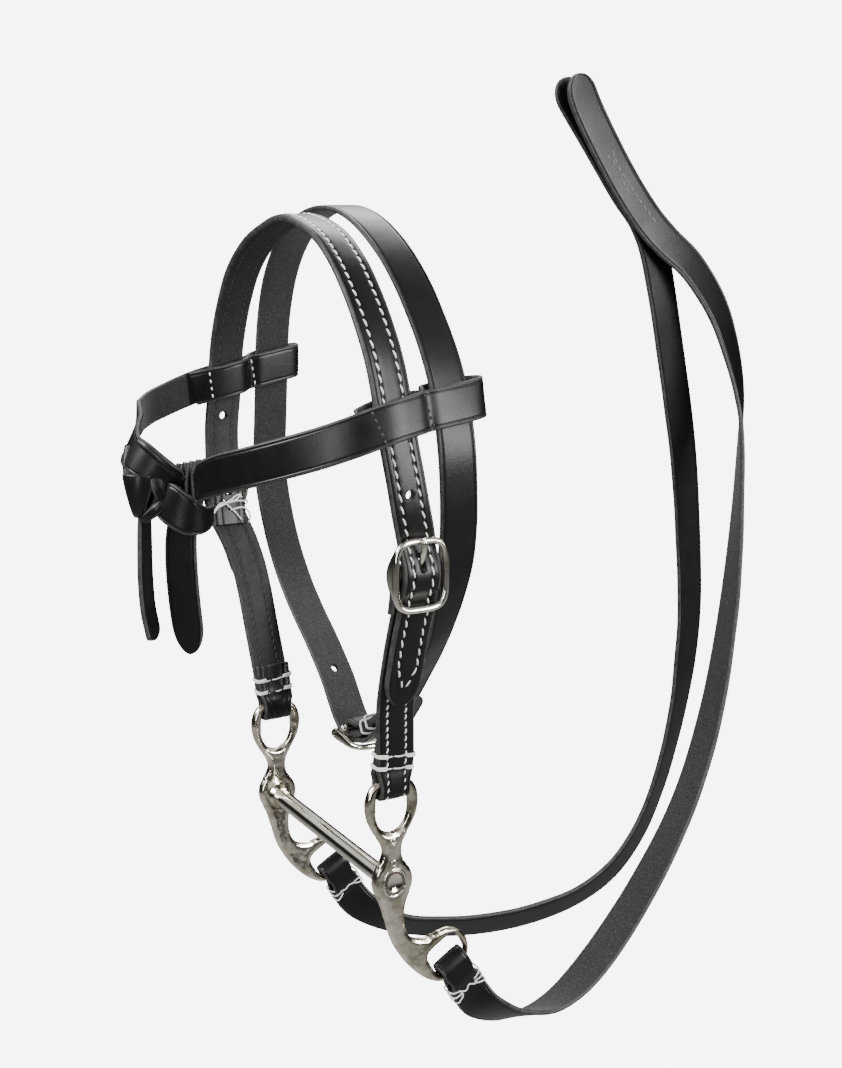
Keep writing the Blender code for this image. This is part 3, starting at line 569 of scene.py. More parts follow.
def build_crown():
    ribbon = Ribbon(crown_rows(), CROWN_T, CROWN_W, (9, 9), wave=0.006)
    ends = (12, ribbon.length - 12)
    furrows = [(-1, ROW_OFFSET), (1, ROW_OFFSET)]
    ob = strap("crown_leather", ribbon, LINED_PLUS, [(-1, 0.9)], furrows, holes(*ends))
    for (x, y, z), sx in ((NEAR_BAR, 1), (OFF_BAR, -1)):
        slot(ob, (x + sx * 4, y, z + 3.4), (8, 1.8, 4.4), 0.8)
    for z, x in ((-70.3, 56.7), (-64, -60)):
        punch(ob, ribbon, ribbon.nearest((x, -1, z)), 1.25)
    place(ob, "crown_strap")
    white, black = Pile(), Pile()
    both_rows(white, ribbon, *ends, -1)
    both_rows(black, ribbon, *ends, 1, radius=0.25)
    for end, sign in zip(ends, (-1, 1)):
        for side in (-1, 1):
            stitch(white, ribbon, [(end, side * ROW_OFFSET), (end + sign * 6.5, side * 0.35)], -1)
    sew(white, "crown_stitching")
    sew(black, "crown_back_stitching", look="black")


# ---- the cheekpieces
def cheek_rows(sx, bar, run, plate_x):
    bx, by, bz = abs(bar[0]), bar[1], bar[2]
    px = abs(plate_x)
    gap = PLATE_T / 2 + 0.35 + CHEEK_T / 2
    low = RING_BAR_Z
    rows = [(bx - 3.9, by, bz - 11.5, CHEEK_W), (bx - 2.9, by, bz - 7, CHEEK_W)]
    rows += [(p, by, q, CHEEK_W) for p, q in arc((bx, bz), 2.1, 180, 0, 9)]
    rows += [(bx + 0.3, by, bz - 4.4, CHEEK_W)]
    rows += [(x, y, z, CHEEK_W) for x, y, z in run]
    rows += [
        (px + 2.25, RING_Y, low + 5, 11.6), (px + gap - 0.15, RING_Y, low + 2.4, 10.6),
        (px + gap, RING_Y, low + 0.4, RING_TURN_W),
    ]
    rows += [(p, RING_Y, q, RING_TURN_W) for p, q in arc((px, low - 1.5), gap, 0, -180, 11)]
    rows += [
        (px - gap, RING_Y, low + 0.6, RING_TURN_W), (px - gap + 0.5, RING_Y, low + 2.6, 10.6),
        (px - 0.5, RING_Y, low + 4.8, 11.2), (px + 0.5, RING_Y, low + 8.2, 11.5),
        (px + 1.5, RING_Y, low + 13, 11.4),
    ]
    return [(sx * x, y, z, 0, 1, 0, w) for x, y, z, w in rows]


CHEEKS = (
    ("near", 1, NEAR_BAR, NEAR_PLATE_X,
     [
         (53.3, 3.4, -101.5), (51, 2.9, -110), (48.5, 2.5, -120), (45.7, 2.6, -131), (43.8, 3.5, -140),
         (42.8, 4.1, -147.5),
     ]),
    ("off", -1, OFF_BAR, OFF_PLATE_X,
     [
         (55.8, -2.6, -96.5), (54, 0.2, -104.5), (52, 2.1, -112.5), (49.6, 3, -121), (46.4, 3.5, -131.5),
         (43.2, 3.9, -141), (41.3, 4.2, -147.5),
     ]),
)


def build_cheek(tag, sx, bar, plate_x, run):
    """Rows run down the outside from the buckle, round the ring and back up inside."""
    ribbon = Ribbon(cheek_rows(sx, bar, run, plate_x), CHEEK_T, CHEEK_W, step=0.6)
    top = ribbon.nearest((bar[0], bar[1], bar[2] + 2.1)) + 12.0
    low = ribbon.nearest((sx * (abs(plate_x) + 2.4), RING_Y, -149.5))
    turn = ribbon.nearest((plate_x, RING_Y, -160.4))
    furrows = [(sx, ROW_OFFSET), (-sx, ROW_OFFSET)]
    ob = strap("cheek_leather_" + tag, ribbon, LINED_MINUS if sx > 0 else LINED_PLUS, [(sx, 0.9)],
               furrows, holes(top, low + 1, CHEEK_PITCH))
    slot(ob, (bar[0], bar[1], bar[2] + 0.7), (6.8, 1.7, 4.6))
    place(ob, "cheekpiece_" + tag)
    white, black = Pile(), Pile()
    both_rows(white, ribbon, top, low + 1, sx, pitch=CHEEK_PITCH, fill=0.66)
    both_rows(white, ribbon, low + 2.2, turn + 1, sx, offset=2.7, pitch=2, radius=0.2, fill=0.6)
    both_rows(black, ribbon, top, low, -sx, pitch=CHEEK_PITCH, radius=0.24)
    sew(white, "cheek_stitching_" + tag)
    sew(black, "cheek_back_stitching_" + tag, look="black")
    ring_bindings(tag, sx, abs(plate_x))


def ring_bindings(tag, sx, px):
    """At each level, one thin turn round the doubled strap and a thick one over each edge."""
    for label, z, mid, half, edge in (("upper", -147.4, 1.7, 2.2, 6), ("lower", -151.2, 0.9, 2.4, 5.75)):
        pile = Pile()

        def point(x, y, rise=0):
            return sx * (px + mid + x), RING_Y + y, z + rise + 0.1 * y * -sx

        for face in (-1, 1):
            sag = [(-3.4, 0), (-2.4, 0.12), (-1.2, -0.3), (0, 0.14), (1.2, 0.16), (2.4, -0.3), (3.4, 0)]
            pile.thread([point(face * (half - 0.1 + lift), y, 0.2 * face) for y, lift in sag], 0.24)
        for sign in (-1, 1):
            for k in (0, 1):
                loop = [
                    (half - 0.25, 2.9), (half + 0.1, 3.6), (half + 0.1, 4.6), (half - 0.3, edge - 0.25),
                    (half * 0.3, edge), (-half * 0.3, edge), (0.3 - half, edge - 0.25),
                    (-half - 0.1, 4.6), (-half - 0.1, 3.6), (0.25 - half, 2.9),
                ]
                pile.thread([point(x, sign * y, 0.55 * k) for x, y in loop], 0.33)
        sew(pile, "ring_binding_%s_%s" % (tag, label), "ring_stitch_%s_%s" % (tag, label))


def build_loose_thread():
    """The thread ends left long where the off cheekpiece was sewn round its buckle."""
    pile = Pile()
    runs = [
        [(-9.5, -94), (-8.1, -92.3), (-5.6, -91.3), (-3.2, -90.2), (-0.4, -88.8), (0.6, -89.8)],
        [(-5.9, -89.9), (-4.9, -91.4), (-2.3, -93.9), (0.1, -96.9)],
        [(-3.6, -93.3), (-1, -92.9), (1.2, -93.1), (2.7, -94.6), (2.8, -96.6), (2.1, -97.9)],
        [(-4.2, -91), (-1.4, -90.7), (1, -90.9), (2.4, -90.8), (1.6, -91.9)],
        [(-8.9, -93), (-6.4, -91), (-3.6, -90.9), (-1.2, -90), (0.4, -88.4)],
    ]
    for k, run in enumerate(runs):
        points = [(-53.4 + 0.15 * (-87.0 - z) + 0.35 * math.sin(1.3 * i + k), y, z)
                  for i, (y, z) in enumerate(run)]
        pile.thread(points, 0.3)
    sew(pile, "cheek_loose_thread_off")


# ---- the buckles
def frame_tube(point, depth):
    """A rounded frame whose sides are deep at the bar and slim at both ends."""
    half = (FRAME_HALF_W - FRAME_WIRE, FRAME_HALF_H - FRAME_WIRE)
    path = smooth_rows([(a, u, 0) for a, u in super_loop((0, 0), half, (0.5, 0.5), (1, 0), 72)], 0.6, True)
    sides, count, verts = 16, len(path), []
    along = unit(np.roll(path, -1, axis=0) - np.roll(path, 1, axis=0))
    for i in range(count):
        a, u = path[i][:2]
        out = np.array([along[i][1], -along[i][0]])
        deep = depth * (0.5 + 0.5 * math.cos(min(abs(u) / 8.4, 1) * math.pi)) * abs(along[i][1])
        for k in range(sides):
            t = 2 * math.pi * k / sides
            p, q = math.cos(t) * FRAME_WIRE, math.sin(t) * FRAME_WIRE
            if q < 0:
                q -= deep
                p *= 1 - 0.2 * deep / FRAME_DEPTH
            verts.append(point(a + out[0] * p, FRAME_DEPTH + q, u + out[1] * p))
    return verts, skin(count, sides, True)


def tongue_tube(point):
    coil = BAR_R + 0.25 + TONGUE_R
    rest = FRAME_DEPTH + FRAME_WIRE + TONGUE_R + 0.12
    reach = FRAME_HALF_H - FRAME_WIRE
    path = [(p, q, 0) for p, q in arc((0, 0), coil, -150, 25, 14)]
    path += [(coil + 1.4, 3, 0), (rest - 0.4, 6.6, 0), (rest, reach, 0), (rest - 0.1, reach + 1.5, 0)]
    rows = smooth_rows(path, 0.4)
    size = np.full(len(rows), TONGUE_R)
    size[-5:] *= np.array([0.97, 0.9, 0.78, 0.6, 0.3])
    return tube([point(0, p, q) for p, q, _ in rows], size, 12)


def buckle(tag, node, point, depth=FRAME_DEPTH):
    metal(frame_tube(point, depth), "buckle_frame_" + tag, node)
    reach = FRAME_HALF_W - 0.6
    bar = [point(a, 0, 0) for a in np.linspace(-reach, reach, 12)]
    metal(tube(bar, BAR_R * 0.9, 16), "buckle_bar_" + tag)
    metal(tongue_tube(point), "buckle_pin_" + tag, "buckle_tongue_" + tag, body="tongue_" + tag)


def build_buckles():
    for tag, bar, sx in (("near", NEAR_BAR, 1), ("off", OFF_BAR, -1)):
        def point(a, o, u, bar=bar, sx=sx):
            return np.array((bar[0] + sx * o, bar[1] + a, bar[2] + u))
        buckle(tag, "cheek_buckle_" + tag, point)

    def under(a, o, u):
        return np.array((THROAT_BAR[0] - u, THROAT_BAR[1] + a, THROAT_BAR[2] - o))
    buckle("throat", "throat_buckle", under, 1.4)


# ---- the throatlatch
def throat_rows():
    bx, by, bz = THROAT_BAR
    rows = [(14.5, by, -146, 8), (9.6, by, -150, 10), (5.2, by, -151.2, 11)]
    rows += [(p, by, q) for p, q in arc((bx, bz), 2, 90, 270, 9)]
    rows += [
        (5.3, by, -154.3), (9.7, by, -152.1), (16, by, -146.8), (25.5, 16.9, -137.3), (33, 17.4, -128.8),
        (38.6, 17.8, -121.5), (43.4, 18.1, -113.5), (47.8, 18.4, -102.5), (50.8, 18.5, -92.5),
        (52.6, 18.4, -83), (54.4, 17.4, -73), (55, 16.5, -62), (53.8, 16, -52), (50.4, 16, -42.5),
        (45.4, 16, -33.8), (39.2, 16, -25.8), (30.8, 16, -16.8), (20, 16, -8.4), (6, 16, -1.2),
        (-8, 16, 2), (-22, 16, 1.2), (-35, 16, -3.2), (-45.5, 16, -10), (-53.5, 16, -19.5),
        (-58.4, 16, -30.5), (-61, 16, -42), (-62.3, 16, -55), (-63.6, 16, -67), (-64.6, 16, -78),
        (-63, 16, -90), (-56.2, 16, -105), (-47.6, 16, -116.5), (-37.8, 16, -125.5),
        (-27.6, 16.2, -133.6), (-18, by, -142.6), (-12.6, by, -149), (-8.6, by, -153.4),
        (-4, by, -156.2), (bx, by, bz - 3.8), (4, by, -156.4), (6.8, by, -155.5), (9.6, by, -154.9),
        (12.6, by, -153.2), (18.2, by, -149), (25.6, by + 0.4, -141.2), (30.2, by + 0.7, -136.4),
    ]
    lean = {(25.5, -137.3): -0.2, (33, -128.8): -0.4, (38.6, -121.5): -0.45, (43.4, -113.5): -0.4,
            (47.8, -102.5): -0.2, (25.6, -141.2): -0.2, (30.2, -136.4): -0.3}
    out = []
    for x, y, z, *width in rows:
        tilt = lean.get((x, z), 0)
        out.append((x, y, z, tilt, math.sqrt(1 - tilt * tilt), 0, *(width or [THROAT_W])))
    return out


def build_throat():
    ribbon = Ribbon(throat_rows(), THROAT_T, THROAT_W, (0, 7), wave=0.006)
    ob = strap("throat_leather", ribbon, OUTSIDE_MINUS, [(-1, 1.15)])
    punch(ob, ribbon, ribbon.nearest((-19.6, 16.5, -141)), 1.05, 1.25)
    place(ob, "throatlatch")
    pile = Pile()
    face, side, along = np.array(((-0.644, 0, 0.765), (0, 1, 0), (0.765, 0, 0.644)))
    for reach, lean in ((0, 0.7), (2.6, -0.6)):
        centre = np.array((11.3, 16.5, -149.7)) + along * reach
        loop = []
        for p, q in (
            (1.9, -5.9), (2.25, -4), (2.3, 0), (2.25, 4), (1.9, 5.9), (0, 6.35), (-1.9, 5.9), (-2.25, 0),
            (-1.9, -5.9), (0, -6.35),
        ):
            loop.append(centre + face * p + side * q + along * lean * q / 6)
        pile.add(tube(smooth_rows(loop, 0.4, True), 0.36, 8, True))
    sew(pile, "throat_binding", "throat_stitch")


# ---- the browband
def build_browband():
    near = [
        (11.6, -40, -72.4, 8.6), (17, -40.4, -69.4, 10.2), (25, -38.9, -66.4), (35, -35.2, -63.4),
        (44, -29.2, -60.2), (50.6, -22, -57.2), (55.2, -14.4, -54.2), (57, -8, -52), (57.6, -2.5, -50.5),
        (57, 3.6, -49.4), (56.2, 6.8, -48.9), (56.6, 10, -48.4), (56.4, 16, -47.6), (55.6, 22.2, -46.8),
        (54.4, 24.3, -46.5), (52.4, 25.1, -46.4), (50.4, 24.3, -46.5), (49.2, 22.2, -46.8),
        (48.4, 16, -47.6), (48.8, 10.4, -48.3), (50.6, 8.6, -48.6), (54, 6.6, -48.9), (51.8, 3.8, -49.4),
        (50.9, -2.5, -50.5), (51.8, -8, -51.8), (53.3, -11.4, -52.6),
    ]
    rows = [(x, y, z, 0.2, 0, -0.98, *(width or [BROW_W])) for x, y, z, *width in near]
    for i in range(5):
        rows[i] = rows[i][:3] + (0.04 * i, 0, -1) + rows[i][6:]
    ribbon = Ribbon(rows, BROW_T, BROW_W, wave=0.004)
    ob = strap("brow_leather_near", ribbon, OUTSIDE_MINUS, [(-1, 1.1)])
    place(ob, "browband_near")
    black = Pile()
    for mark in ((57, -8.6, -52), (56.2, 6.8, -48.9)):
        s = ribbon.nearest(mark)
        stitch(black, ribbon, [(s - 0.4, -4.9), (s + 0.4, 4.9)], -1, pitch=2, radius=0.36, lean=0.7)
    off = [
        (-24, -43.2, -57.2, 10.4), (-32, -40, -57.9, 10.4), (-40, -36.6, -58.4, 10.4),
        (-47.5, -32.6, -58.5), (-53.5, -27.9, -58), (-57.8, -22.2, -57), (-60.4, -16.4, -55.6),
        (-62, -10, -54), (-62.6, -2, -52.3), (-61.9, 4, -51), (-61.2, 6.4, -50.4), (-63.6, 9, -49.9),
        (-64.8, 12, -49.3), (-64.8, 16, -48.6), (-64.2, 21.8, -47.6), (-63.2, 23.8, -47.3),
        (-61.4, 24.6, -47.1), (-59.6, 23.8, -47.3), (-58.8, 21.8, -47.6), (-58.5, 16, -48.6),
        (-58.4, 10.4, -49.6), (-59.2, 7, -50.3), (-56.6, 3.6, -51), (-56.3, -2, -52.3),
        (-57.2, -8, -53.4), (-59.2, -12.4, -54.4),
    ]
    tail = [(x, y, z, -0.06, 0, -1, *(width or [BROW_W])) for x, y, z, *width in off]
    front = [knot_row(*r) for r in (
        (1.8, 4.2, -72.6, 6.4, 0.55), (-1.2, 5.8, -69.8, 8, 0.58), (-5.1, 6.6, -66.9, 9, 0.58),
        (-8.8, 5, -64.6, 9.6, 0.55), (-11.7, 0.8, -63.2, 10, 0.5), (-12.6, -5, -61.4, 10.4, 0.45),
        (-12.3, -12, -59.2, 10.4, 0.32),
    )]
    ribbon = Ribbon(front + tail, BROW_T, BROW_W)
    ob = strap("brow_leather_off", ribbon, OUTSIDE_PLUS, [(1, 1.1)])
    place(ob, "browband_off", "knot_bridge")
    white = Pile()
    for mark in ((-56.6, -7, -53.3), (-58.8, 8, -50.1)):
        s = ribbon.nearest(mark)
        stitch(white, ribbon, [(s - 0.3, -4.6), (s + 0.3, 4.6)], 1, pitch=2.3, radius=0.27, lean=0.5)
    sew(black, "brow_stitching_near", look="black")
    sew(white, "brow_stitching_off")


# ---- the brow knot
def knot_point(a, b, z):
    """a runs across the knot from off-front to near-back, b runs near-front."""
    return (KNOT[0] + 0.5 * a + 0.866 * b, KNOT[1] + 0.866 * a - 0.5 * b, z)


def knot_row(a, b, z, width, lean=0):
    """lean tips the band's lower edge towards -a."""
    c = math.sqrt(1 - lean * lean)
    return knot_point(a, b, z) + (-0.5 * lean, -0.866 * lean, -c, width)


def knot_strip(name, stations, turn, *nodes, curl=0, creases=((1, 1.1), (-1, 1.1)), tips=(0, 0),
               wide=BROW_W):
    """A piece of band that runs down; its side lies along +a, turned towards +b by turn degrees."""
    c, d = math.cos(math.radians(turn)), math.sin(math.radians(turn))
    side = (0.5 * c + 0.866 * d, 0.866 * c - 0.5 * d, 0)
    rows = [knot_point(a, b, z) + side + (w,) for a, b, z, w in stations]
    ribbon = Ribbon(rows, BROW_T, wide, tips, step=0.5)
    place(strap(name, ribbon, BOTH_GRAIN, creases, curl=curl), *nodes)


def build_knot():
    cup = [
        (-3.4, 4.6, -75.2, 7.8, 0.5), (-1.1, 7, -76.3, 10.8, 0.38), (2, 8.4, -78.4, 11, 0.26),
        (5.6, 8.2, -80.7, 10, 0.14), (8.7, 5.8, -81.6, 7.6, 0.02), (10.1, 1.6, -81, 4.8, 0),
        (8.4, -3.8, -82, 4.2, 0), (4, -6, -82.4, 4.2, 0),
    ]
    ribbon = Ribbon([knot_row(*r) for r in cup], BROW_T, BROW_W, step=0.5)
    ob = strap("knot_turn_near_leather", ribbon, BOTH_GRAIN, [(1, 1), (-1, 1)])
    place(ob, "knot_turn_near")
    cone = [
        (-8.9, 7.3, -68.9, 9.9), (-9, 7.5, -71, 9), (-9.2, 7.4, -74, 7.2), (-9.4, 6.8, -77, 5.2),
        (-9.6, 5.6, -79.6, 3.5), (-9.8, 3.6, -81, 2.6),
    ]
    knot_strip("knot_turn_off_leather", cone, 4, "knot_turn_off", curl=0.09, creases=((1, 0.9),))
    tuck = [(-11.2, -0.4, -62, 5), (-11.5, 2, -66, 5), (-11, 4.4, -70.6, 4.6), (-10.4, 4.6, -74, 4)]
    knot_strip("knot_tuck_leather", tuck, 8)
    core = [(-5.4, 0.6, -67.6, 8.6), (-5.4, 1.6, -73, 8.6), (-5.8, 2.2, -79, 6.4)]
    knot_strip("knot_core_leather", core, 6)
    folds = {
        "knot_fold_low": [
            (-8.6, 4.4, -82, 2.6, -0.66), (-6.6, 6.4, -80.6, 3, -0.66), (-4, 7.4, -78.4, 3.4, -0.66),
            (-2, 6.6, -76.8, 2.8, -0.66),
        ],
        "knot_fold_top": [
            (-9, 3.6, -60, 2.2, 0.66), (-6.6, 5.8, -61.4, 2.8, 0.66), (-3, 7.2, -64.3, 3, 0.66),
            (0.8, 7, -67.4, 2.8, 0.66), (2.8, 5.6, -69.4, 2.2, 0.66),
        ],
    }
    for name, stations in folds.items():
        ribbon = Ribbon([knot_row(*r) for r in stations], BROW_T, 3.2, step=0.4)
        place(strap(name, ribbon, BOTH_GRAIN, curl=-0.24))
    wedge = [(-3.8, 5, -67.2, 4.4), (-3.7, 6.4, -70.2, 4.6), (-3.2, 6.9, -73.6, 3.6), (-2.7, 6.3, -77, 1.8)]
    knot_strip("knot_wedge_leather", wedge, -18, curl=0.1, creases=(), wide=3.8)
    for k in range(4):
        a = 1.5 + 1.8 * k
        pleat = [
            (a + 0.5, 2.6, -66.6 + 0.4 * k, 2.6), (a + 0.1, 3.6, -69.4, 2.3), (a, 3.8, -73, 2),
            (a + 0.1, 3.4, -77, 2), (a + 0.2, 3, -80, 2.2),
        ]
        knot_strip("knot_pleat_%d" % k, pleat, 24, curl=0.2, creases=(), wide=2.4)
    near_tail = [
        (2.6, 1.2, -78, 7.4), (1.9, 1.6, -84, 8.8), (1.4, 1.8, -90, 9.4), (1.4, 1.8, -98, 9.6),
        (1.9, 1.6, -107, 9.6), (2.6, 1.2, -115, 9.4), (3.2, 1, -121.6, 9),
    ]
    knot_strip("brow_tail_near_leather", near_tail, 14, "brow_tail_near", tips=(0, 9.5))
    off_tail = [
        (-8.6, -0.8, -77, 6), (-8.9, -0.6, -82, 7.6), (-9.1, -0.4, -88, 8.8), (-9.3, -0.4, -99, 9.4),
        (-9, -0.6, -108, 9.4), (-8, -1, -115, 9.2), (-7.6, -1.2, -118, 8.8),
    ]
    knot_strip("brow_tail_off_leather", off_tail, 101, "brow_tail_off", tips=(0, 2.6))


# ---- the bit
SHANK = [
    (0.6, -155.1), (4.2, -154.7), (7.8, -155.1), (10.7, -156.7), (12.3, -159.5), (12.7, -163),
    (11.9, -166.9), (9.9, -170.6), (7.5, -174), (6.9, -177.4), (7.7, -180.4), (9.8, -182.9),
    (10.8, -185.8), (10.4, -188.9), (8.9, -192), (7.9, -195.8), (7.9, -199.6), (8.7, -202.9),
    (10.5, -205.4), (13, -206.6), (16, -206.8), (19.2, -205.7), (22.8, -205.1), (26.6, -206.5),
    (29.2, -209.8), (29.8, -214.4), (28, -218.4), (24.6, -221.3), (20.4, -221.9), (16.4, -220.3),
    (12.6, -217.3), (9, -213.3), (6.2, -209.2), (3.9, -204.8), (2.4, -200), (1.5, -195.8), (0.2, -192),
    (-1.5, -188.8), (-2.1, -185.6), (-1.3, -182.4), (0.7, -179.6), (1.6, -177), (0.8, -174.2),
    (-1.4, -171), (-3.4, -167), (-4.2, -163), (-3.8, -159.5), (-2.3, -156.7),
]


def super_loop(centre, half, powers, turn, count):
    """A rounded-square loop; turn is the direction of its long axis."""
    out = []
    for i in range(count):
        a = 2 * math.pi * i / count
        c, s = math.cos(a), math.sin(a)
        power = powers[0] if s > 0 else powers[1]
        p = half[0] * math.copysign(abs(c) ** power, c)
        q = half[1] * math.copysign(abs(s) ** power, s)
        out.append((centre[0] + turn[0] * p - turn[1] * q, centre[1] + turn[1] * p + turn[0] * q))
    return out


def shank_height(y, z):
    """How much thicker or thinner than the plate the casting is at a point."""
    boss = math.exp(-(((y - 4.4) / 6) ** 2 + ((z + 185.9) / 6.5) ** 2) ** 2)
    dish = math.exp(-(((y - 4.4) / 4) ** 2 + ((z + 186.6) / 4.6) ** 2) ** 3)
    web = math.exp(-(((y - 9.5) / 4.2) ** 2 + ((z + 208.5) / 5) ** 2))
    neck = math.exp(-(((z + 176.5) / 4) ** 2))
    return 1.0 + 0.28 * boss - 0.2 * dish - 0.22 * web + 0.16 * neck


def shank_loops():
    """The outline, the ring's hole and the rein eye, each a closed run of (y, z)."""
    ring = super_loop((RING_Y, RING_Z), (5.5, 7), (0.55, 1), (1, 0), 60)
    eye = super_loop((EYE_Y, EYE_Z), (EYE_MAJOR, EYE_MINOR), (0.5, 0.5), EYE_DIR, 60)
    return [smooth_rows([(y, z, 0) for y, z in loop], 0.5, True)[:, :2] for loop in (SHANK, ring, eye)]


def plate_mesh(loops):
    """A flat plate with square edges; shank remeshes it evenly afterwards."""
    curve = bpy.data.curves.new("plate", "CURVE")
    curve.dimensions, curve.fill_mode, curve.extrude = "2D", "BOTH", PLATE_T / 2 * MM
    for loop in loops:
        spline = curve.splines.new("POLY")
        spline.points.add(len(loop) - 1)
        for point, (y, z) in zip(spline.points, loop):
            point.co = (y * MM, z * MM, 0, 1)
        spline.use_cyclic_u = True
    source = link("plate", curve)
    mesh = finished_mesh(source)
    bpy.data.objects.remove(source)
    bm = bmesh.new()
    bm.from_mesh(mesh)
    bmesh.ops.remove_doubles(bm, verts=bm.verts, dist=0.004 * MM)
    bmesh.ops.recalc_face_normals(bm, faces=bm.faces)
    bm.to_mesh(mesh)
    bm.free()
    return mesh


def round_edges(points, loops, radius):
    """Turn a plate's square rim into a round one. points are rows of (y, z, height)."""
    edge = np.concatenate(loops)
    inward = np.concatenate([unit(np.roll(loop, -1, axis=0) - np.roll(loop, 1, axis=0)) for loop in loops])
    inward = np.stack([-inward[:, 1], inward[:, 0]], axis=1)
    probe = points[:, :2]
    near = np.array([np.argmin(((edge - p) ** 2).sum(axis=1)) for p in probe])
    normal = inward[near]
    depth = np.sum((probe - edge[near]) * normal, axis=1)
    sign = np.where(depth < 0, -1, 1)
    normal, depth = normal * sign[:, None], np.abs(depth)
    rise, flat = np.abs(points[:, 2]), PLATE_T / 2 - radius
    p, q = np.minimum(depth - radius, 0), np.maximum(rise - flat, 0)
    reach = np.maximum(np.abs(p), q)
    scale = reach / np.maximum(np.hypot(p, q), 1e-6)
    moved = np.where((p < 0) & (q > 0), scale, 1)
    out = points.copy()
    out[:, :2] += normal * (p * moved - p)[:, None]
    out[:, 2] = np.sign(points[:, 2]) * np.where(q > 0, flat + q * moved, rise)
    return out


def shank(tag, x_mid, sx):
    """A flat plate rounded at its rims and swelled like a casting."""
    loops = shank_loops()
    ob = link("bit_shank_%s_metal" % tag, plate_mesh(loops))
    remesh = ob.modifiers.new("Remesh", "REMESH")
    remesh.mode, remesh.voxel_size = "VOXEL", 0.26 * MM
    apply_modifiers(ob)
    points = np.array([v.co for v in ob.data.vertices]) / MM
    points = round_edges(points, loops, 1.35)
    for v, (y, z, x) in zip(ob.data.vertices, points):
        v.co = ((x_mid + sx * x * shank_height(y, z)) * MM, y * MM, z * MM)
    soften = ob.modifiers.new("Soften", "SMOOTH")
    soften.factor, soften.iterations = 0.5, 12
    apply_modifiers(ob)
    fix_normals(ob)
    ob.data.materials.clear()
    ob.data.materials.append(M["cast"])
    ob.data.polygons.foreach_set("use_smooth", [True] * len(ob.data.polygons))
    place(ob, "bit_shank_" + tag, body="bit", finish="polished_nickel")


def disc(name, x0, sx, y, z, rings, look, *nodes):
    """A turned and slightly tall disc facing outward, from (radius, height) rings."""
    verts, sides = [], 40
    for radius, height in rings:
        for k in range(sides):
            a = 2 * math.pi * k / sides
            verts.append((x0 + sx * height, y + radius * math.cos(a), z + 1.15 * radius * math.sin(a)))
    ob = mesh_object(name, verts, skin(len(rings), sides), [M[look]])
    place(ob, *nodes, body="bit", finish="polished_nickel")


def build_bit():
    for tag, x_mid, sx in (("near", NEAR_PLATE_X, 1), ("off", OFF_PLATE_X, -1)):
        shank(tag, x_mid, sx)
        boss = (x_mid + sx * 0.6, sx, MOUTH_Y, MOUTH_Z + 1)
        rivet = [
            (3.35, 0), (3.4, 1), (3.3, 1.2), (3, 1.3), (2.6, 1.26), (2.1, 1.12), (1.2, 1.04),
            (0.3, 1.02),
        ]
        disc("bit_rivet_%s_metal" % tag, *boss, rivet, "rivet", "bit_rivet_" + tag)
        rim = [(3.3, 0.6), (3.9, 0.9), (3.95, 1.25), (3.7, 1.5), (3.4, 1.45), (3.3, 1.2)]
        disc("bit_boss_rim_" + tag, *boss, rim, "nickel")
        small = [(1, 0), (1.05, 0.75), (0.9, 0.98), (0.62, 1), (0.45, 0.85), (0.4, 0.7)]
        for k, (y, z) in enumerate(((4.1, -173.6), (4.2, -180.2))):
            disc("bit_ring_mark_%s_%d" % (tag, k), x_mid + sx * 0.95, sx, y, z, small, "nickel")
    xs = np.linspace(OFF_PLATE_X + 0.8, NEAR_PLATE_X - 0.8, 90)
    flare = [MOUTH_R + 1.3 * math.exp(-(NEAR_PLATE_X - 1.5 - x) / 0.9)
             + 1.3 * math.exp(-(x - OFF_PLATE_X - 1.5) / 0.9) for x in xs]
    flare = [min(f, MOUTH_R + 1.5) for f in flare]
    metal(tube([(x, MOUTH_Y, MOUTH_Z) for x in xs], flare, 40), "mouthpiece_metal", "mouthpiece_bar",
          body="bit")


# ---- the reins
def eye_turn(sx, plate_x):
    px = abs(plate_x)
    gap = PLATE_T / 2 + 0.35 + REIN_T / 2
    stations = [
        (px - 1, 9.8, 10.4), (px - 1.6, 7.2, 10.2), (px - 2.4, 4.8, 9.6), (px - gap, 2.4, 8.8),
        (px - gap, 0.2, REIN_TURN_W),
    ]
    stations += [(p, q, REIN_TURN_W) for p, q in arc((px, -1.7), gap, 180, 360, 11)]
    stations += [(px + gap, 0.6, REIN_TURN_W), (px + gap, 2.8, 8.8), (px + 1.9, 6, 10.6)]
    return [(sx * x, *eye_local(along), 0, EYE_DIR[0], EYE_DIR[1], w) for x, along, w in stations]


def eye_local(along):
    """Y, Z of a point at a distance along the rein's leaving direction."""
    return REIN_AXIS[0] + EYE_DIR[1] * along, REIN_AXIS[1] - EYE_DIR[0] * along


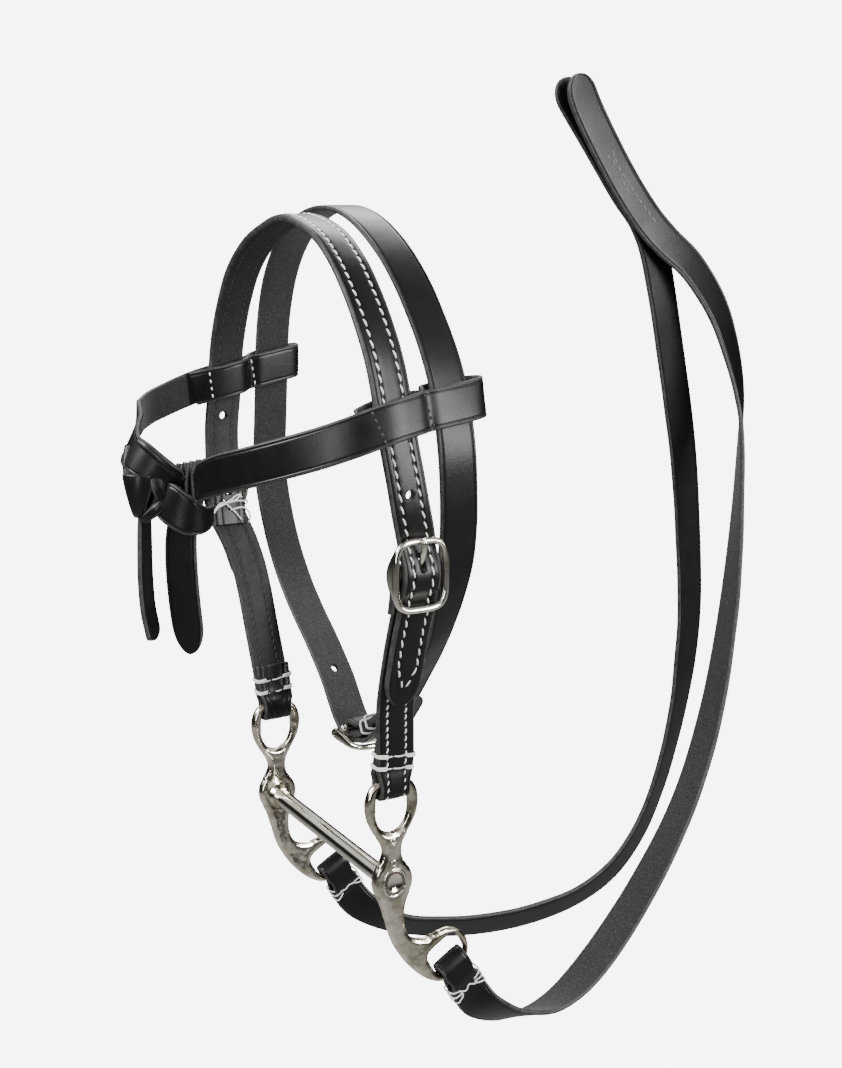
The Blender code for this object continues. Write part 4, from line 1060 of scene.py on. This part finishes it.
NEAR_REIN = [
    (41.4, 30.4, -227.8, 0.05, 0.86, 0.5), (41, 36, -234.4, 0.45, 0.65, 0.6),
    (38.6, 48, -241.4, 0.8, 0.3, 0.52), (36.4, 64, -243, 0.98, 0.12, 0.1),
    (34.2, 81.5, -234.4, 0.94, 0.28, -0.2), (31, 103, -214.4, 0.97, 0.2, -0.1),
    (27.5, 121.6, -190.4, 0.99, 0.1, 0.05), (23.8, 134.6, -163.2, 0.99, 0.02, 0.1),
    (20, 143.2, -134, 0.97, -0.12, 0.15), (16.2, 148.9, -104, 0.92, -0.35, 0.15),
    (12.4, 152.5, -74, 0.8, -0.58, 0.12), (10.2, 152.7, -58.6, 0.6, -0.8, 0),
    (8.2, 149.9, -43.8, 0.4, -0.9, -0.1), (6.1, 144.7, -29.6, 0.22, -0.95, -0.2),
    (4, 135.8, -17, 0.1, -0.9, -0.4), (2, 127, -9.2, 0.03, -0.82, -0.57),
    (1.1, 119.8, -2.2, 0, -0.83, -0.55), (1, 111.6, 7.4, 0, -0.83, -0.55),
    (1, 103.2, 19, 0, -0.83, -0.55), (1.4, 94.6, 32, 0, -0.83, -0.55), (2, 89.9, 41.4, 0, -0.83, -0.55),
]
OFF_REIN = [
    (-39.9, 30.4, -227.8, 0, 0.86, 0.5), (-39.2, 36.4, -235.4, 0.3, 0.65, 0.7),
    (-36.6, 49, -243.6, 0.62, 0.3, 0.72), (-33, 66, -247.6, 0.54, 0.17, 0.82),
    (-30.2, 84, -249.4, 0.5, 0, 0.87), (-28.3, 101.5, -248.9, 0.45, -0.12, 0.88),
    (-26.4, 118.5, -245.4, 0.42, -0.35, 0.83), (-24.6, 132.4, -237.6, 0.38, -0.65, 0.66),
    (-22.7, 142.4, -224.6, 0.4, -0.82, 0.4), (-20.9, 148.8, -208.4, 0.4, -0.89, 0.2),
    (-19, 152.6, -191.4, 0.38, -0.92, 0.1), (-17.2, 154.9, -174.4, 0.32, -0.94, 0.04),
    (-15.4, 155.6, -156.6, 0.16, -0.98, -0.02), (-13.4, 154.8, -137, 0.1, -0.99, -0.08),
    (-11, 151, -111, 0.06, -0.98, -0.18), (-7.8, 144.4, -78.4, 0, -0.97, -0.23),
    (-4.6, 134.6, -43, 0, -0.95, -0.3), (-2.2, 126, -15, 0, -0.95, -0.3),
    (-1.1, 119.4, -2, 0, -0.87, -0.5), (-1, 111.2, 7.4, 0, -0.83, -0.55),
    (-1.2, 102.6, 19, 0, -0.83, -0.55), (-2.6, 93.6, 32.2, 0, -0.83, -0.55),
    (-4, 88.8, 40.4, 0, -0.83, -0.55),
]


def build_reins():
    for tag, sx, plate_x, run in (("near", 1, NEAR_PLATE_X, NEAR_REIN), ("off", -1, OFF_PLATE_X, OFF_REIN)):
        rows = eye_turn(sx, plate_x) + [r + (REIN_W,) for r in run]
        ribbon = Ribbon(rows, REIN_T, REIN_W, (0, 7.5), wave=0.01)
        doubled = ribbon.nearest(run[0][:3]) + 2.5
        ob = strap("rein_leather_" + tag, ribbon, OUTSIDE_PLUS, [(1, 1.1)], same_until=doubled)
        place(ob, "rein_" + tag, body="reins")
        if tag == "near":
            grey = Pile()
            join = ribbon.nearest((1.1, 119.8, -2.2))
            for path in ([(-2, -1.2), (20, -0.4), (27, 1.6)], [(12, 1.4), (27, -1)]):
                stitch(grey, ribbon, [(join + s, v) for s, v in path], 1, pitch=2.6, radius=0.3)
            sew(grey, "rein_end_stitching", look="grey", body="reins")
        rein_binding(tag, sx, abs(plate_x))


def rein_binding(tag, sx, px):
    """Thread turns round both edges where the rein is doubled below the eye."""
    pile = Pile()
    side = np.array((0, EYE_DIR[0], EYE_DIR[1]))
    leave = np.array((0, EYE_DIR[1], -EYE_DIR[0]))
    for sign in (-1, 1):
        for k in range(3):
            centre = np.array((sx * (px + 0.2), *eye_local(5.6 + 1.5 * k)))
            half = 2.5
            loop = [
                (half * 0.7, 2.2), (half, 3), (half + 0.1, 4.4), (half - 0.3, 5.4), (0, 5.75),
                (-half + 0.3, 5.4), (-half - 0.1, 4.4), (-half, 3), (-half * 0.7, 2.2),
            ]
            points = []
            for x, v in loop:
                fan = 0.45 * (v - 4) * (k - 1)
                points.append(centre + np.array((sx * x, 0, 0)) + side * sign * v + leave * fan)
            pile.thread(points, 0.26)
    # the seam across shows on the face that looks to the near side
    face, sway = (1, 1) if tag == "near" else (-1, 0.35)
    seam = [(2.5, -3.2, -0.8), (2.75, -1.4, 0.6), (2.75, 0.4, -0.4), (2.75, 2, 0.8), (2.5, 3.2, 0.2)]
    pile.thread([np.array((sx * (px + face * x), *eye_local(6.8 + sway * drift))) + side * v
                 for x, v, drift in seam], 0.24)
    sew(pile, "rein_binding_" + tag, "rein_stitch_" + tag, body="reins")


# ---- camera, light and floor
CAMERA_AT = Vector((0.40196, -0.19363, 0.00696))
CAMERA_TURN = (60.16, 12.49)
LENS, SENSOR = 52.25, 36.0
PALE = (7, 7, 7, 1)


def look_matrix(position, azimuth, elevation):
    """Azimuth 0 looks along +Y; elevation lifts the camera."""
    az, el = math.radians(azimuth), math.radians(elevation)
    back = Vector((math.sin(az) * math.cos(el), -math.cos(az) * math.cos(el), math.sin(el)))
    right = Vector((math.cos(az), math.sin(az), 0))
    turn = Matrix((right, back.cross(right), back)).transposed().to_4x4()
    turn.translation = position
    return turn


def add_camera():
    data = bpy.data.cameras.new("camera")
    data.lens, data.sensor_width, data.sensor_fit = LENS, SENSOR, "AUTO"
    data.clip_start = 0.01
    camera = link("camera", data)
    camera.matrix_world = look_matrix(CAMERA_AT, *CAMERA_TURN)
    bpy.context.scene.camera = camera


def add_softbox(name, position, size, power, target=(0, 0.03, -0.09)):
    data = bpy.data.lights.new(name, "AREA")
    data.shape, data.size, data.size_y, data.energy = "RECTANGLE", size[0], size[1], power
    lamp = link(name, data)
    lamp.location = position
    lamp.rotation_euler = (Vector(target) - Vector(position)).to_track_quat("-Z", "Y").to_euler()


def add_world():
    """Soft studio surroundings: bright above, greyer at the sides; plain pale to the camera."""
    world = bpy.data.worlds.new("studio")
    bpy.context.scene.world = world
    world.use_nodes = True
    tree = world.node_tree
    background = tree.nodes["Background"]
    coord = tree.nodes.new("ShaderNodeTexCoord")
    split = tree.nodes.new("ShaderNodeSeparateXYZ")
    ramp = tree.nodes.new("ShaderNodeValToRGB")
    stops = (
        (0, 0.6), (0.28, 0.36), (0.42, 0.035), (0.5, 0.01), (0.61, 0.03), (0.69, 0.9), (0.8, 0.7),
        (1, 0.25),
    )
    fill_ramp(ramp, [(position, (level, level, level * 0.98)) for position, level in stops])
    scale = tree.nodes.new("ShaderNodeMapRange")
    scale.inputs["From Min"].default_value = -1.0
    path = tree.nodes.new("ShaderNodeLightPath")
    mix = tree.nodes.new("ShaderNodeMix")
    mix.data_type = "RGBA"
    mix.inputs[7].default_value = PALE
    links = tree.links
    links.new(coord.outputs["Generated"], split.inputs[0])
    links.new(split.outputs["Z"], scale.inputs["Value"])
    links.new(scale.outputs[0], ramp.inputs["Fac"])
    links.new(path.outputs["Is Camera Ray"], mix.inputs["Factor"])
    links.new(ramp.outputs["Color"], mix.inputs[6])
    links.new(mix.outputs[2], background.inputs["Color"])


def add_floor():
    """A plain pale floor well below the hanging bridle."""
    size, depth = 30000, -620.0
    corners = [(-size, -size, depth), (size, -size, depth), (size, size, depth), (-size, size, depth)]
    pale = Nodes("floor_pale", Base_Color=(0, 0, 0, 1), Specular_IOR_Level=0, Roughness=1,
                 Emission_Color=PALE, Emission_Strength=1)
    floor = mesh_object("floor", corners, [(0, 1, 2, 3)], [pale.mat])
    floor.visible_diffuse = floor.visible_glossy = floor.visible_shadow = False


def main():
    add_camera()
    add_world()
    add_floor()
    add_softbox("key", (-0.1, -0.75, 0.55), (0.5, 0.5), 18)
    add_softbox("side", (0.85, 0.35, 0.35), (0.3, 0.7), 10)
    add_softbox("rim", (-0.7, 0.5, 0.6), (0.6, 0.4), 6)
    add_softbox("sheen", (0.75, 0.48, -0.03), (0.35, 0.25), 5)
    add_softbox("front", (0.75, -0.75, 0.1), (0.25, 0.6), 4)
    build_crown()
    for cheek in CHEEKS:
        build_cheek(*cheek)
    build_loose_thread()
    build_buckles()
    build_throat()
    build_browband()
    build_knot()
    build_bit()
    build_reins()


main()
bpy.context.view_layer.update()
